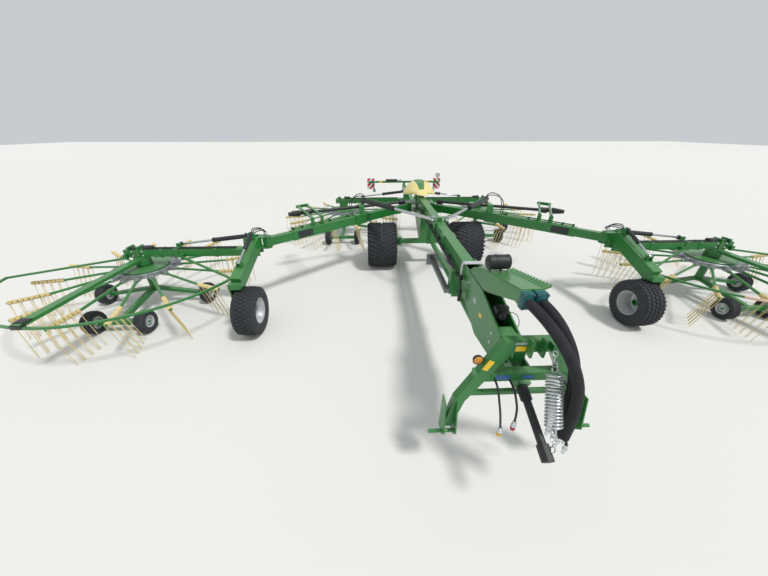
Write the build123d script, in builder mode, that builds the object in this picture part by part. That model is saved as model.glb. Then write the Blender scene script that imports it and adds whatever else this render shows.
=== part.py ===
from build123d import *
from math import cos, radians, sin
import os

# Four rotor hay rake, towed, as it stands parked in its working position. Millimetres, +Z up, +Y to the rear.
# Every place below is measured from the ground midway between the main wheels. Right means +X, which is the
# right hand of someone on the tractor who looks back at the rake, and each left piece mirrors a right one.

# Reach of the whole machine ahead of and behind the main axle.
front_reach = 5750
rear_reach = 5250

# Sides of a turned bar, of a rim, and of a tyre. The bores of the frame's pins are exact rounds, and so are the
# hitch's link pins. A bar's corners lie on its radius and a many sided bore's flats on its own, so that they turn.
exact, bar_sides, rim_sides, tyre_sides = 0, 8, 16, 24

# Running gaps: between a wheel's rim and tyre, round a pin, and beside a turning eye.
seat_gap, pin_gap, plate_gap = 0.3, 0.5, 1

# Wheels: tyre diameter, tyre width and rim diameter of each kind, and where they stand.
main_tyre_d, main_tyre_w, main_rim_d = 1090, 700, 572
support_tyre_d, support_tyre_w, support_rim_d = 830, 360, 432
rotor_wheel_d, rotor_wheel_w = 400, 165
main_track = 2100
support_x, support_y = 3365, -2750
rim_wall, hub_r, stub_r, rotor_stub_r = 12, 110, 45, 20
main_dish, support_dish = 40, 90
shoulder = 70

# Main beam, its collars, and the guides of the steering rod under it.
beam_w, beam_h, beam_top, beam_wall = 160, 250, 1570, 10
hitch_y = 760 - front_reach
beam_front, beam_rear = hitch_y + 1490, 860
cylinder_bracket_y, band_y, band_l, band_wall = -1560, -2300, 160, 20
guide_ys, guide_drop = (hitch_y + 1790, -900), 90
steer_rod_r, steer_rod_z, steer_rod_front, steer_rod_rear = 50, 970, hitch_y + 640, -250

# Main axle: its beam, and the kingpins that the wheels steer on.
axle_w, axle_h, axle_z = 120, 100, 635
kingpin_x, kingpin_r, kingpin_tube_r, kingpin_h = main_track / 2 - 440, 25, 50, 150
knuckle_plate, knuckle_w = 20, 130

# Tower: its column, and the plates that hold the swing pins of the wings.
column_w, column_front, column_rear = 220, -60, 260
swing_x, swing_y, swing_pin_r, swing_eye_r, swing_eye_h = 300, 950, 35, 90, 180
tower_plate, tower_reach, tower_web_half = 25, 330, 120
rear_beam_w, rear_beam_h, rear_beam_z = 140, 160, 1064

# Hood over the tower: its outlines from the side as (y, z), from above and from the front as half outlines.
hood_low, hood_high, hood_wall = 1610, 1890, 8
hood_side = (
    (700, hood_low), (1620, hood_low), (1620, 1830), (1400, hood_high), (1080, hood_high), (820, 1760), (700, 1640),
)
hood_plan = ((40, 700), (330, 820), (415, 1080), (400, 1350), (300, 1620))
hood_front = ((415, hood_low), (415, 1690), (330, 1790), (160, hood_high))

# Drawbar head, hose arm and hitch frame. Outlines are given as (distance behind the hitch pin, height).
head_w, head_plate = 200, 20
head_top = 1590
head_side = ((1590, head_top), (1590, 1300), (740, 1000), (290, 1060), (150, 1125), (150, 1430), (740, head_top))
head_web = ((1390, 1280), (1430, 1320), (340, 1260), (340, 1220), (750, 1070))
hose_arm_side = (
    (1240, head_top), (740, head_top), (590, 1640), (90, 1850), (20, 1850), (20, 2000), (890, 1780), (1110, 1690),
)
clamp_x, clamp_half, clamp_reach, clamp_top = 55, 42, 60, 1990
hitch_pin_r, hitch_block_w, hitch_pitch_z = 25, 110, 1265
fork_ahead, fork_behind = 60, 290
fork_top, fork_low, fork_plate, fork_w = 1405, 1125, 25, 140
yoke_y, yoke_depth, yoke_bar_z, yoke_tie_z = hitch_y - 160, 80, 1265, 1050
yoke_top_z, yoke_top_half, yoke_low_z, yoke_low_half = 1650, 235, 650, 600
yoke_ear_x, yoke_ear, link_pin_r, link_pin_l, top_link_r = 62, 18, 18, 120, 13
hose_arm_w = 180

# Jack beside the main beam, and the parked drive shaft and chain spring at the hitch frame.
jack_x, jack_y, jack_pivot_z, jack_w, jack_foot, jack_plate = -225, hitch_y + 1690, 1080, 70, 200, 15
shaft_r, shaft_tilt, shaft_start_z, shaft_cone_r, holder_l = 34, 21, 1160, 48, 62
spring_r, spring_l, spring_x, chain_r = 55, 470, 130, 9

# Wings: beam section, knuckle, end of the outer beam, sliding tube and turning pin of the wing head.
wing_z, wing_w, wing_h, wing_wall = 1260, 150, 180, 10
knuckle_x, knuckle_y = 1570, -150
turn_x, turn_y, turn_pin_r, turn_eye_r, turn_eye_h = 3260, -1690, 40, 75, 180
outer_beam_l, slide_l, slide_gap = 1780, 1000, 1
head_cheek, head_box_x, leg_w, leg_h = 20, 3400, 170, 210
foot_x, foot_y, foot_z = 3480, -2720, 930

# Lift arms: pivot, rotor centre and place along the machine, for the front and for the rear rotors.
arm_z, arm_w, arm_h, arm_pin_r, arm_eye_r, arm_eye_w = 1080, 140, 140, 30, 85, 176
front_pivot_x, front_rotor_x, front_rotor_y = 3600, 5660, turn_y
rear_pivot_x, rear_rotor_x, rear_rotor_y = 210, 2200, 2600
arm_overhang = 240

# Rotor: ring, arms and tines. The tines trail by the lean, in degrees, and clear the ground when parked.
arm_count, tines_per_arm = 15, 4
ring_r, ring_z, ring_h, post_r, cover_r, cover_h = 500, 715, 90, 70, 400, 25
tine_in, tine_out, tine_bar_z, tine_bar = 1350, 1850, 665, 50
arm_tube, arm_root_r, arm_root_z = 45, 440, 750
tine_pitch, tine_pair, tine_r, tine_lean, tine_clear = 125, 60, 7, 11, 15

# Wheels under each rotor: half track of the front pair, how far ahead it runs, and half track of the side pair.
front_pair_half, front_pair_ahead, side_pair_half = 435, 1000, 1000
chassis_z, chassis_bar = 340, 80

# Guard hoop of a front rotor, with the degrees where its arc starts and ends.
hoop_r, hoop_tube, hoop_z, hoop_from, hoop_to = 2050, 32, 850, 200, 345

# Swing cylinders from the main beam to the wings, and lift cylinders beside the arms.
swing_rod_x, swing_rod_y, swing_cyl_z, swing_plate_half = 125, -1560, 1612, 45
swing_base_x, swing_base_y = 1520, 170
swing_barrel_l, swing_barrel_r, swing_rod_r, swing_eye = 1110, 55, 30, 40
lift_pin_up, lift_reach, lift_rise, lift_side, lift_pin_r = 250, 1350, 100, 160, 16
lift_barrel_r, lift_rod_r, lift_eye_r, lift_barrel_share = 45, 22, 40, 0.55

# Wing drive shaft, its bearing fork on the outer beam, and the rear light bar.
drive_r, drive_z, cone_r, cone_l, bearing_l, drive_tail = 36, 1430, 65, 160, 90, 260
drive_from, drive_to = (430, 790), (2840, -260)
fork_feet, fork_lean, fork_reach, fork_bar_z = (1040, 1270), 320, 1130, 1500
light_bar_z, light_x, board_w, board_h, board_t, light_z = 1250, 1320, 300, 420, 20, 1180

axle_y = (front_reach - rear_reach) / 2
place = Location((0, axle_y, 0))
os.makedirs("parts", exist_ok=True)


def keep(name, part):
    """Moves a finished piece from its place about the axle into the part's frame and writes it."""
    moved = part.moved(place)
    moved.label = name
    export_step(moved, f"parts/{name}.step")


def keep_pair(name, part):
    """Writes a right piece and its mirror image on the left."""
    keep(name + "_right", part)
    keep(name + "_left", mirror(part, about=Plane.YZ))


def facing(start, end):
    """The plane at start that faces end, its first direction level."""
    along = Vector(*end) - Vector(*start)
    level = Vector(0, 0, 1).cross(along)
    return Plane(origin=start, x_dir=level if level.length > 0.001 else (1, 0, 0), z_dir=along)


def length(start, end):
    """Distance between two points."""
    return (Vector(*end) - Vector(*start)).length


def box_bar(start, end, width, height, mode=Mode.ADD):
    """Adds a square edged bar between two points, its width level."""
    with BuildSketch(facing(start, end)) as section:
        Rectangle(width, height)
    extrude(section.sketch, amount=length(start, end), mode=mode)


def box_tube(start, end, width, height, wall):
    """Adds an open ended box tube between two points."""
    with BuildSketch(facing(start, end)) as section:
        Rectangle(width, height)
        Rectangle(width - 2 * wall, height - 2 * wall, mode=Mode.SUBTRACT)
    extrude(section.sketch, amount=length(start, end))


def round_bar(start, end, radius, sides=bar_sides):
    """Adds a turned bar between two points."""
    with BuildSketch(facing(start, end)) as section:
        if sides == exact:
            Circle(radius)
        else:
            RegularPolygon(radius, sides, rotation=180 / sides)
    extrude(section.sketch, amount=length(start, end))


def bore(start, end, radius, sides=exact):
    """Cuts a hole between two points."""
    with BuildSketch(facing(start, end)) as section:
        if sides == exact:
            Circle(radius)
        else:
            RegularPolygon(radius, sides, major_radius=False)
    extrude(section.sketch, amount=length(start, end), mode=Mode.SUBTRACT)


def block(low, high, mode=Mode.ADD):
    """Adds or cuts an upright block between two corners."""
    size = [b - a for a, b in zip(low, high)]
    with Locations([tuple((a + b) / 2 for a, b in zip(low, high))]):
        Box(*size, mode=mode)


def side_plate(x_low, x_high, outline, mode=Mode.ADD):
    """Adds a plate that stands across X, its outline given as (y, z) corners."""
    with BuildSketch(Plane(origin=(x_low, 0, 0), x_dir=(0, 1, 0), z_dir=(1, 0, 0))) as face:
        with BuildLine():
            Polyline(*outline, close=True)
        make_face()
    extrude(face.sketch, amount=x_high - x_low, mode=mode)


def front_plate(y_low, y_high, outline, mode=Mode.ADD):
    """Adds a plate that stands across Y, its outline given as (x, z) corners."""
    with BuildSketch(Plane(origin=(0, y_high, 0), x_dir=(1, 0, 0), z_dir=(0, -1, 0))) as face:
        with BuildLine():
            Polyline(*outline, close=True)
        make_face()
    extrude(face.sketch, amount=y_high - y_low, mode=mode)


def flat_plate(z_low, z_high, outline, mode=Mode.ADD):
    """Adds a level plate, its outline given as (x, y) corners."""
    with BuildSketch(Plane.XY.offset(z_low)) as face:
        with BuildLine():
            Polyline(*outline, close=True)
        make_face()
    extrude(face.sketch, amount=z_high - z_low, mode=mode)


def disc(x_low, x_high, y, z, flat_r, sides, mode=Mode.ADD):
    """Adds or cuts a wheel's disc, which stands on a flat when its centre is flat_r above the ground."""
    with BuildSketch(Plane(origin=(x_low, y, z), x_dir=(0, 1, 0), z_dir=(1, 0, 0))) as face:
        RegularPolygon(flat_r, sides, major_radius=False, rotation=180 / sides)
    extrude(face.sketch, amount=x_high - x_low, mode=mode)


def tyre(x, y, radius, width, rim_r, corner):
    """Adds a tyre that stands on the ground, with its shoulders cut back."""
    half = width / 2
    disc(x - half + corner, x + half - corner, y, radius, radius, tyre_sides)
    for side in (-1, 1):
        tread_edge = Plane(origin=(x + side * (half - corner), y, radius), x_dir=(0, 1, 0), z_dir=(side, 0, 0))
        with BuildSketch(tread_edge) as face:
            RegularPolygon(radius, tyre_sides, major_radius=False, rotation=180 / tyre_sides)
        extrude(face.sketch, amount=corner, taper=45)
    disc(x - half, x + half, y, radius, rim_r, rim_sides, Mode.SUBTRACT)


def rim(x, y, radius, width, rim_r, dish, bore_r):
    """Adds a rim whose web lies the dish's distance from the wheel's middle, with its hub."""
    half = width / 2 - 2 * rim_wall
    disc(x - half, x + half, y, radius, rim_r - seat_gap, rim_sides)
    disc(x - half, x + half, y, radius, rim_r - seat_gap - rim_wall, rim_sides, Mode.SUBTRACT)
    disc(x + dish - rim_wall / 2, x + dish + rim_wall / 2, y, radius, rim_r - rim_wall / 2, rim_sides)
    hub_from, hub_to = (x + dish - 4 * rim_wall, y, radius), (x + dish + 4 * rim_wall, y, radius)
    round_bar(hub_from, hub_to, hub_r)
    bore(hub_from, hub_to, bore_r, bar_sides)


# Main beam: a box tube from the drawbar head to the tower, with the collar that takes the swing cylinders' rods,
# a second collar, the guides of the steering rod, and the jack's pin on its left side.
beam_low = beam_top - beam_h
beam_mid = beam_top - beam_h / 2
collar_half = beam_w / 2 + band_wall
rod_plate_half = swing_rod_x + swing_eye
rod_plate_top = 2 * swing_cyl_z - beam_top
with BuildPart() as main_beam:
    box_tube((0, beam_front, beam_mid), (0, beam_rear, beam_mid), beam_w, beam_h, beam_wall)
    for y in (cylinder_bracket_y, band_y):
        y0, y1 = y - band_l / 2, y + band_l / 2
        for x0, x1 in ((-collar_half, -beam_w / 2), (beam_w / 2, collar_half)):
            block((x0, y0, beam_low - band_wall), (x1, y1, beam_top))
        block((-collar_half, y0, beam_low - band_wall), (collar_half, y1, beam_low))
    y0, y1 = swing_rod_y - swing_plate_half, swing_rod_y + swing_plate_half
    block((-rod_plate_half, y0, beam_top), (rod_plate_half, y1, beam_top + band_wall / 2))
    block((-rod_plate_half, y0, rod_plate_top - band_wall / 2), (rod_plate_half, y1, rod_plate_top))
    block((-swing_rod_x / 3, y0, beam_top), (swing_rod_x / 3, y1, rod_plate_top))
    for y in guide_ys:
        block((-collar_half, y, steer_rod_z - guide_drop), (collar_half, y + band_wall, beam_low))
        bore((0, y - 1, steer_rod_z), (0, y + band_wall + 1, steer_rod_z), steer_rod_r + pin_gap, bar_sides)
    jack_inner, jack_outer = jack_x + jack_w / 2 + plate_gap, jack_x - jack_w / 2 - plate_gap
    block((jack_inner, jack_y - 60, jack_pivot_z - 60), (-beam_w / 2, jack_y + 60, beam_low + 60))
    round_bar((-beam_w / 2, jack_y, jack_pivot_z), (jack_outer, jack_y, jack_pivot_z), hitch_pin_r - pin_gap)
keep("main_beam", main_beam.part)

# Tower over the axle: a column under the beam, a gusset on each side, the two plates and the pins that the wings
# swing on, and the gearbox between them.
tower_top = wing_z + swing_eye_h / 2 + plate_gap
tower_low = wing_z - swing_eye_h / 2 - plate_gap
tower_front, tower_rear = swing_y - swing_eye_r, swing_y + tower_reach
hood_rest = hood_high - hood_wall
column_half = column_w / 2
gusset = ((column_rear, axle_z + 60), (column_rear, beam_low), (tower_rear, tower_low - tower_plate), (tower_front, 1000))
with BuildPart() as tower:
    block((-column_half, column_front, axle_z + axle_h / 2), (column_half, column_rear, beam_low))
    for x0 in (-column_half, column_half - band_wall):
        side_plate(x0, x0 + band_wall, gusset)
    plate_half = swing_x + swing_eye_r
    block((-plate_half, tower_front, tower_low - tower_plate), (plate_half, tower_rear, tower_low))
    block((-plate_half, tower_front, tower_top), (plate_half, tower_rear, tower_top + tower_plate))
    block((-tower_web_half, tower_front, tower_low), (tower_web_half, tower_rear, tower_top))
    block((-beam_w / 2, beam_front, tower_top), (beam_w / 2, beam_rear, beam_top), Mode.SUBTRACT)
    block((-beam_w / 2, beam_front, beam_low), (beam_w / 2, beam_rear, beam_top), Mode.SUBTRACT)
    for x in (-swing_x, swing_x):
        round_bar((x, swing_y, tower_low), (x, swing_y, tower_top), swing_pin_r - pin_gap)
    for x in (-1, 1):
        block((x * 60 - 15, tower_rear - 120, tower_top + tower_plate), (x * 60 + 15, tower_rear - 40, hood_rest))
keep("tower", tower.part)

# Hood over the tower: a pointed shell, low at the front, with cut back upper edges and open below.
def both_sides(half):
    """A whole outline from its right half, whose points start and end beside the middle."""
    return list(half) + [(-a, b) for a, b in reversed(half)]


with BuildPart() as hood:
    side_plate(-hood_plan[2][0], hood_plan[2][0], hood_side)
    flat_plate(hood_low, hood_high, both_sides(hood_plan), Mode.INTERSECT)
    front_plate(hood_side[0][0], hood_side[1][0], both_sides(hood_front), Mode.INTERSECT)
    underside = hood.faces().sort_by(Axis.Z)[0]
    offset(amount=-hood_wall, openings=underside)
keep("hood", hood.part)

# Rear beam behind the tower, with the lugs of the rear arms and the light bar across its end.
rear_low, rear_top = rear_beam_z - rear_beam_h / 2, rear_beam_z + rear_beam_h / 2
rear_end = rear_reach - 50
with BuildPart() as rear_beam:
    box_tube((0, tower_front + 20, rear_beam_z), (0, rear_end, rear_beam_z), rear_beam_w, rear_beam_h, beam_wall)
    lug = (
        (rear_beam_w / 2, rear_low), (rear_pivot_x, rear_beam_z - arm_eye_r), (rear_pivot_x + 70, rear_beam_z),
        (rear_pivot_x + lift_eye_r, arm_z + lift_pin_up + lift_eye_r),
        (rear_pivot_x - lift_eye_r, arm_z + lift_pin_up + lift_eye_r), (rear_beam_w / 2, rear_top),
    )
    for side in (-1, 1):
        outline = [(side * x, z) for x, z in lug]
        for y in (rear_rotor_y - arm_eye_w / 2 - plate_gap - head_cheek, rear_rotor_y + arm_eye_w / 2 + plate_gap):
            front_plate(y, y + head_cheek, outline)
        pin_y = arm_eye_w / 2 + plate_gap
        low, high = (side * rear_pivot_x, rear_rotor_y - pin_y, arm_z), (side * rear_pivot_x, rear_rotor_y + pin_y, arm_z)
        round_bar(low, high, arm_pin_r - pin_gap)
        ear = (side * rear_pivot_x, rear_rotor_y + pin_y, arm_z + lift_pin_up)
        round_bar(ear, (ear[0], rear_rotor_y + lift_side + lift_eye_r, ear[2]), lift_pin_r - pin_gap)
    block((-40, rear_end - 60, rear_top), (40, rear_end, light_bar_z - 30))
    block((-light_x - board_w / 3, rear_end - 60, light_bar_z - 30), (light_x + board_w / 3, rear_end, light_bar_z + 30))
keep("rear_beam", rear_beam.part)

# Warning boards at the ends of the light bar, each with a round lamp below its inner corner.
with BuildPart() as boards:
    for side in (-1, 1):
        board_low = light_z - board_h / 2
        x = side * light_x
        block((x - board_w / 2, rear_end, board_low), (x + board_w / 2, rear_end + board_t, board_low + board_h))
        lamp_x = side * (light_x - board_w / 2 + 20)
        round_bar((lamp_x, rear_end - 60, board_low - 55), (lamp_x, rear_reach, board_low - 55), 60)
keep("light_boards", boards.part)

# Axle beam under the tower's column, with a kingpin tube at each end.
knuckle_z = axle_z
tube_low, tube_high = knuckle_z - kingpin_h / 2, knuckle_z + kingpin_h / 2
with BuildPart() as axle_beam:
    box_bar((-kingpin_x, 0, axle_z), (kingpin_x, 0, axle_z), axle_w, axle_h)
    for x in (-kingpin_x, kingpin_x):
        round_bar((x, 0, tube_low), (x, 0, tube_high), kingpin_tube_r)
        bore((x, 0, tube_low), (x, 0, tube_high), kingpin_r)
keep("axle_beam", axle_beam.part)

# Steering knuckle: a fork round the kingpin tube, its pin, the stub that the wheel turns on, and a steering arm.
main_r = main_tyre_d / 2
main_x = main_track / 2
fork_x = kingpin_x + kingpin_tube_r + plate_gap * 5
with BuildPart() as knuckle:
    for z0 in (tube_low - plate_gap - knuckle_plate, tube_high + plate_gap):
        block((kingpin_x - 55, -knuckle_w / 2, z0), (fork_x + knuckle_plate, knuckle_w / 2, z0 + knuckle_plate))
    low, high = tube_low - plate_gap - knuckle_plate, tube_high + plate_gap + knuckle_plate
    block((fork_x, -knuckle_w / 2, main_r - stub_r - 10), (fork_x + knuckle_plate, knuckle_w / 2, high))
    round_bar((kingpin_x, 0, low), (kingpin_x, 0, high), kingpin_r - pin_gap)
    round_bar((fork_x, 0, main_r), (main_x + main_dish + 60, 0, main_r), stub_r - pin_gap)
    block((kingpin_x - 30, -knuckle_w / 2, low), (kingpin_x + 30, 330, low + knuckle_plate))
keep_pair("knuckle", knuckle.part)

# Main wheels: wide low pressure tyres on dished rims.
with BuildPart() as main_tyre:
    tyre(main_x, 0, main_r, main_tyre_w, main_rim_d / 2, shoulder)
keep_pair("main_tyre", main_tyre.part)
with BuildPart() as main_rim:
    rim(main_x, 0, main_r, main_tyre_w, main_rim_d / 2, main_dish, stub_r)
keep_pair("main_rim", main_rim.part)

# Steering rod: the long tube under the main beam that carries the hitch's turn back to the axle.
with BuildPart() as steering_rod:
    round_bar((0, steer_rod_front, steer_rod_z), (0, steer_rod_rear, steer_rod_z), steer_rod_r)
    for y0, y1 in ((steer_rod_front - 110, steer_rod_front), (steer_rod_rear, steer_rod_rear + 60)):
        block((-15, y0, steer_rod_z - 35), (15, y1, steer_rod_z + 35))
keep("steering_rod", steering_rod.part)

# Drawbar head: two side plates with a web between them, and the fork that the hitch block turns in.
def behind_hitch(outline):
    """An outline's (y, z) corners from its distances behind the hitch pin."""
    return [(hitch_y + back, z) for back, z in outline]


with BuildPart() as drawbar_head:
    for x0 in (-head_w / 2, head_w / 2 - head_plate):
        side_plate(x0, x0 + head_plate, behind_hitch(head_side))
    inner = head_w / 2 - head_plate
    side_plate(-inner, inner, behind_hitch(head_web))
    for z0 in (fork_low - fork_plate, fork_top):
        block((-fork_w / 2, hitch_y - fork_ahead, z0), (fork_w / 2, hitch_y + fork_behind, z0 + fork_plate))
    nose_y = hitch_y + fork_behind / 2 + 5
    block((-inner, nose_y, fork_low - fork_plate), (inner, nose_y + 2 * head_plate, fork_top + fork_plate))
    for z0 in (fork_low - fork_plate, fork_top):
        low, high = (0, hitch_y, z0 - 1), (0, hitch_y, z0 + fork_plate + 1)
        bore(low, high, hitch_pin_r)
keep("drawbar_head", drawbar_head.part)

# Hose arm: the bent box over the drawbar head whose end clamps hold the hose sleeves.
with BuildPart() as hose_arm:
    side_plate(-hose_arm_w / 2, hose_arm_w / 2, behind_hitch(hose_arm_side))
    clamp_y, clamp_low = hitch_y + hose_arm_side[4][0], hose_arm_side[4][1]
    for side in (-1, 1):
        x0, x1 = side * clamp_x - clamp_half, side * clamp_x + clamp_half
        block((x0, clamp_y - clamp_reach, clamp_low), (x1, clamp_y, clamp_top))
keep("hose_arm", hose_arm.part)

# Hitch block: turns on an upright pin in the drawbar's fork and carries the cross pin of the hitch frame.
cross_half = yoke_ear_x + yoke_ear + 20
with BuildPart() as hitch_block:
    half = hitch_block_w / 2
    block((-half, hitch_y - half, fork_low + plate_gap), (half, hitch_y + half, fork_top - plate_gap))
    round_bar((0, hitch_y, fork_low - fork_plate), (0, hitch_y, fork_top + fork_plate), hitch_pin_r - pin_gap)
    round_bar((-cross_half, hitch_y, hitch_pitch_z), (cross_half, hitch_y, hitch_pitch_z), hitch_pin_r - pin_gap)
keep("hitch_block", hitch_block.part)

# Hitch frame: the A shaped frame that the tractor's three links take, with its cross bars, the ears that hold the
# hitch block's cross pin, the rib plates at its feet and the two lower link pins.
y0, y1 = yoke_y - yoke_depth / 2, yoke_y + yoke_depth / 2
knee_half, knee_z = 520, 1000
tilt = radians(shaft_tilt)
shaft_way = Vector(0, -cos(tilt), -sin(tilt))
shaft_start = Vector(0, y0 - 10, shaft_start_z)
shaft_l = (shaft_start.Y + front_reach - shaft_cone_r * sin(tilt)) / cos(tilt)
shaft_end = shaft_start + shaft_way * shaft_l
with BuildPart() as yoke:
    for side in (-1, 1):
        outer = ((yoke_top_half, yoke_top_z), (knee_half + 45, knee_z), (yoke_low_half + 40, yoke_low_z))
        inner = ((yoke_low_half - 40, yoke_low_z), (knee_half - 45, knee_z - 20), (yoke_top_half - 120, yoke_top_z - 40))
        front_plate(y0, y1, [(side * x, z) for x, z in outer + inner])
        for x in (yoke_low_half - 60, yoke_low_half + 48):
            x0 = side * x - 6
            side_plate(x0, x0 + 12, ((y1 + 10, yoke_low_z + 330), (y0 - 20, yoke_low_z + 330), (y0 - 90, yoke_low_z), (y0 - 20, yoke_low_z - 90), (y1 + 10, yoke_low_z - 90)))
        pin_from, pin_to = side * (yoke_low_half - 66), side * (yoke_low_half + 60 + link_pin_l)
        low, high = (pin_from, yoke_y - 60, yoke_low_z - 40), (pin_to, yoke_y - 60, yoke_low_z - 40)
        round_bar(low, high, link_pin_r, exact)
    block((-yoke_top_half, y0, yoke_top_z - 110), (yoke_top_half, y1, yoke_top_z))
    block((-430, y0, yoke_bar_z - 45), (430, y1, yoke_bar_z + 45))
    block((-490, y0 + 20, yoke_tie_z - 20), (490, y1 - 20, yoke_tie_z + 20))
    for side in (-1, 1):
        x0 = side * (yoke_ear_x + yoke_ear / 2) - yoke_ear / 2
        block((x0, y1, hitch_pitch_z - 45), (x0 + yoke_ear, hitch_y + 45, hitch_pitch_z + 45))
        block((side * 50 - 10, y0 - 70, yoke_top_z - 110), (side * 50 + 10, y0, yoke_top_z + 40))
    bore((-yoke_ear_x - yoke_ear - 1, hitch_y, hitch_pitch_z), (yoke_ear_x + yoke_ear + 1, hitch_y, hitch_pitch_z), hitch_pin_r)
    bore((-61, y0 - 45, yoke_top_z), (61, y0 - 45, yoke_top_z), top_link_r)
    box_bar(shaft_start - shaft_way * holder_l, shaft_start, 120, 120)
    block((spring_x - 10, y0 - 60, yoke_top_z - 70), (spring_x + 10, y0, yoke_top_z))
keep("yoke", yoke.part)

# Drive shaft from the tractor, parked in the hitch frame's holder: its guard tube and the cone at each end.
with BuildPart() as pto_shaft:
    round_bar(shaft_start, shaft_end, shaft_r)
    round_bar(shaft_start, shaft_start + shaft_way * 120, shaft_cone_r)
    round_bar(shaft_end - shaft_way * 120, shaft_end, shaft_cone_r)
keep("pto_shaft", pto_shaft.part)

# Chain spring that hangs from the hitch frame's hook and holds up the drive shaft's end by its chain.
hook = Vector(spring_x, y0 - 60 - chain_r, yoke_top_z - 40)
collar = shaft_end - shaft_way * 60 + Vector(shaft_cone_r + chain_r + 2, 0, 0)
hang = (collar - hook).normalized()
slack = ((collar - hook).length - spring_l) / 2
with BuildPart() as chain_spring:
    round_bar(hook + hang * slack, collar - hang * slack, spring_r)
    round_bar(hook, collar, chain_r)
    for eye in (hook, collar):
        block((eye.X - chain_r - 2, eye.Y - chain_r, eye.Z - 20), (eye.X + chain_r + 2, eye.Y + chain_r, eye.Z + 20))
keep("chain_spring", chain_spring.part)

# Jack: a square leg with its plate foot, drawn as it stands on the ground and then folded back on its pin.
leg_half, foot_half = jack_w / 2, jack_foot / 2
with BuildPart() as jack:
    block((jack_x - leg_half, jack_y - leg_half, jack_plate), (jack_x + leg_half, jack_y + leg_half, jack_pivot_z + jack_w))
    block((jack_x - foot_half, jack_y - foot_half, 0), (jack_x + foot_half, jack_y + foot_half, jack_plate))
    bore((jack_x - jack_w, jack_y, jack_pivot_z), (jack_x + jack_w, jack_y, jack_pivot_z), hitch_pin_r)
keep("jack", jack.part.rotate(Axis((jack_x, jack_y, jack_pivot_z), (1, 0, 0)), 90))

# Wing beam: inner beam from the swing pin to the knuckle, and the open ended outer beam from there on, with the
# bracket of the swing cylinder and the fork that holds the drive shaft's bearing.
boom = Vector(turn_x - knuckle_x, turn_y - knuckle_y, 0).normalized()


def on_boom(distance, aside=0, z=wing_z):
    """A point this far out from the knuckle along the wing, and aside to the rear."""
    return (knuckle_x + boom.X * distance - boom.Y * aside, knuckle_y + boom.Y * distance + boom.X * aside, z)


with BuildPart() as wing_beam:
    box_bar((swing_x, swing_y, wing_z), (knuckle_x, knuckle_y, wing_z), wing_w, wing_h)
    low, high = (swing_x, swing_y, wing_z - swing_eye_h / 2), (swing_x, swing_y, wing_z + swing_eye_h / 2)
    round_bar(low, high, swing_eye_r)
    bore(low, high, swing_pin_r)
    box_tube(on_boom(0), on_boom(outer_beam_l), wing_w, wing_h, wing_wall)
    box_bar(on_boom(-130), on_boom(180), wing_w + 40, wing_h + 40)
    block((swing_base_x - 60, knuckle_y, wing_z - 90), (swing_base_x + 60, swing_base_y + 55, wing_z - 60))
    block((swing_base_x - 60, knuckle_y, swing_cyl_z - 85), (swing_base_x + 60, swing_base_y + 55, swing_cyl_z - 65))
    block((swing_base_x - 60, knuckle_y - 20, wing_z - 90), (swing_base_x + 60, knuckle_y + 90, swing_cyl_z - 65))
    low, high = (swing_base_x, swing_base_y, swing_cyl_z - 65), (swing_base_x, swing_base_y, swing_cyl_z + 60)
    round_bar(low, high, hitch_pin_r - pin_gap)
    for foot in fork_feet:
        box_bar(on_boom(foot, 0, wing_z + wing_h / 2 - 5), on_boom(foot, 0, fork_bar_z), 60, 60)
        box_bar(on_boom(foot, -30, fork_bar_z), on_boom(foot - fork_lean, fork_reach, fork_bar_z), 45, 50)
    low, high = fork_feet[0] - fork_lean - 40, fork_feet[1] - fork_lean + 40
    box_bar(on_boom(low, fork_reach, fork_bar_z), on_boom(high, fork_reach, fork_bar_z), 60, 60)
keep_pair("wing_beam", wing_beam.part)

# Wing drive shaft: the guard tube from the gearbox to the bearing under the fork, with a cone at each end, the
# bearing, and the next shaft's start.
with BuildPart() as drive_shaft:
    start, end = Vector(*drive_from, drive_z), Vector(*drive_to, drive_z)
    along = (end - start).normalized()
    round_bar(start, end, drive_r)
    for centre in (start + along * cone_l, end):
        round_bar(centre - along * cone_l, centre, cone_r)
    round_bar(end, end + along * bearing_l, cone_r - 25)
    round_bar(end + along * bearing_l, end + along * (bearing_l + drive_tail), drive_r)
    block((end.X - 30, end.Y - 60, drive_z), (end.X + 70, end.Y + 40, fork_bar_z - 25))
keep_pair("drive_shaft", drive_shaft.part)

# Sliding tube: the inner box tube that lengthens the wing, with the upright eye that the wing head turns on.
slide_w, slide_h = wing_w - 2 * wing_wall - 2 * slide_gap, wing_h - 2 * wing_wall - 2 * slide_gap
boom_l = length((knuckle_x, knuckle_y, 0), (turn_x, turn_y, 0))
with BuildPart() as slide_tube:
    box_tube(on_boom(boom_l - slide_l), on_boom(boom_l - turn_eye_r / 2), slide_w, slide_h, wing_wall)
    low, high = (turn_x, turn_y, wing_z - turn_eye_h / 2), (turn_x, turn_y, wing_z + turn_eye_h / 2)
    round_bar(low, high, turn_eye_r)
    bore(low, high, turn_pin_r)
keep_pair("slide_tube", slide_tube.part)

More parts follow.
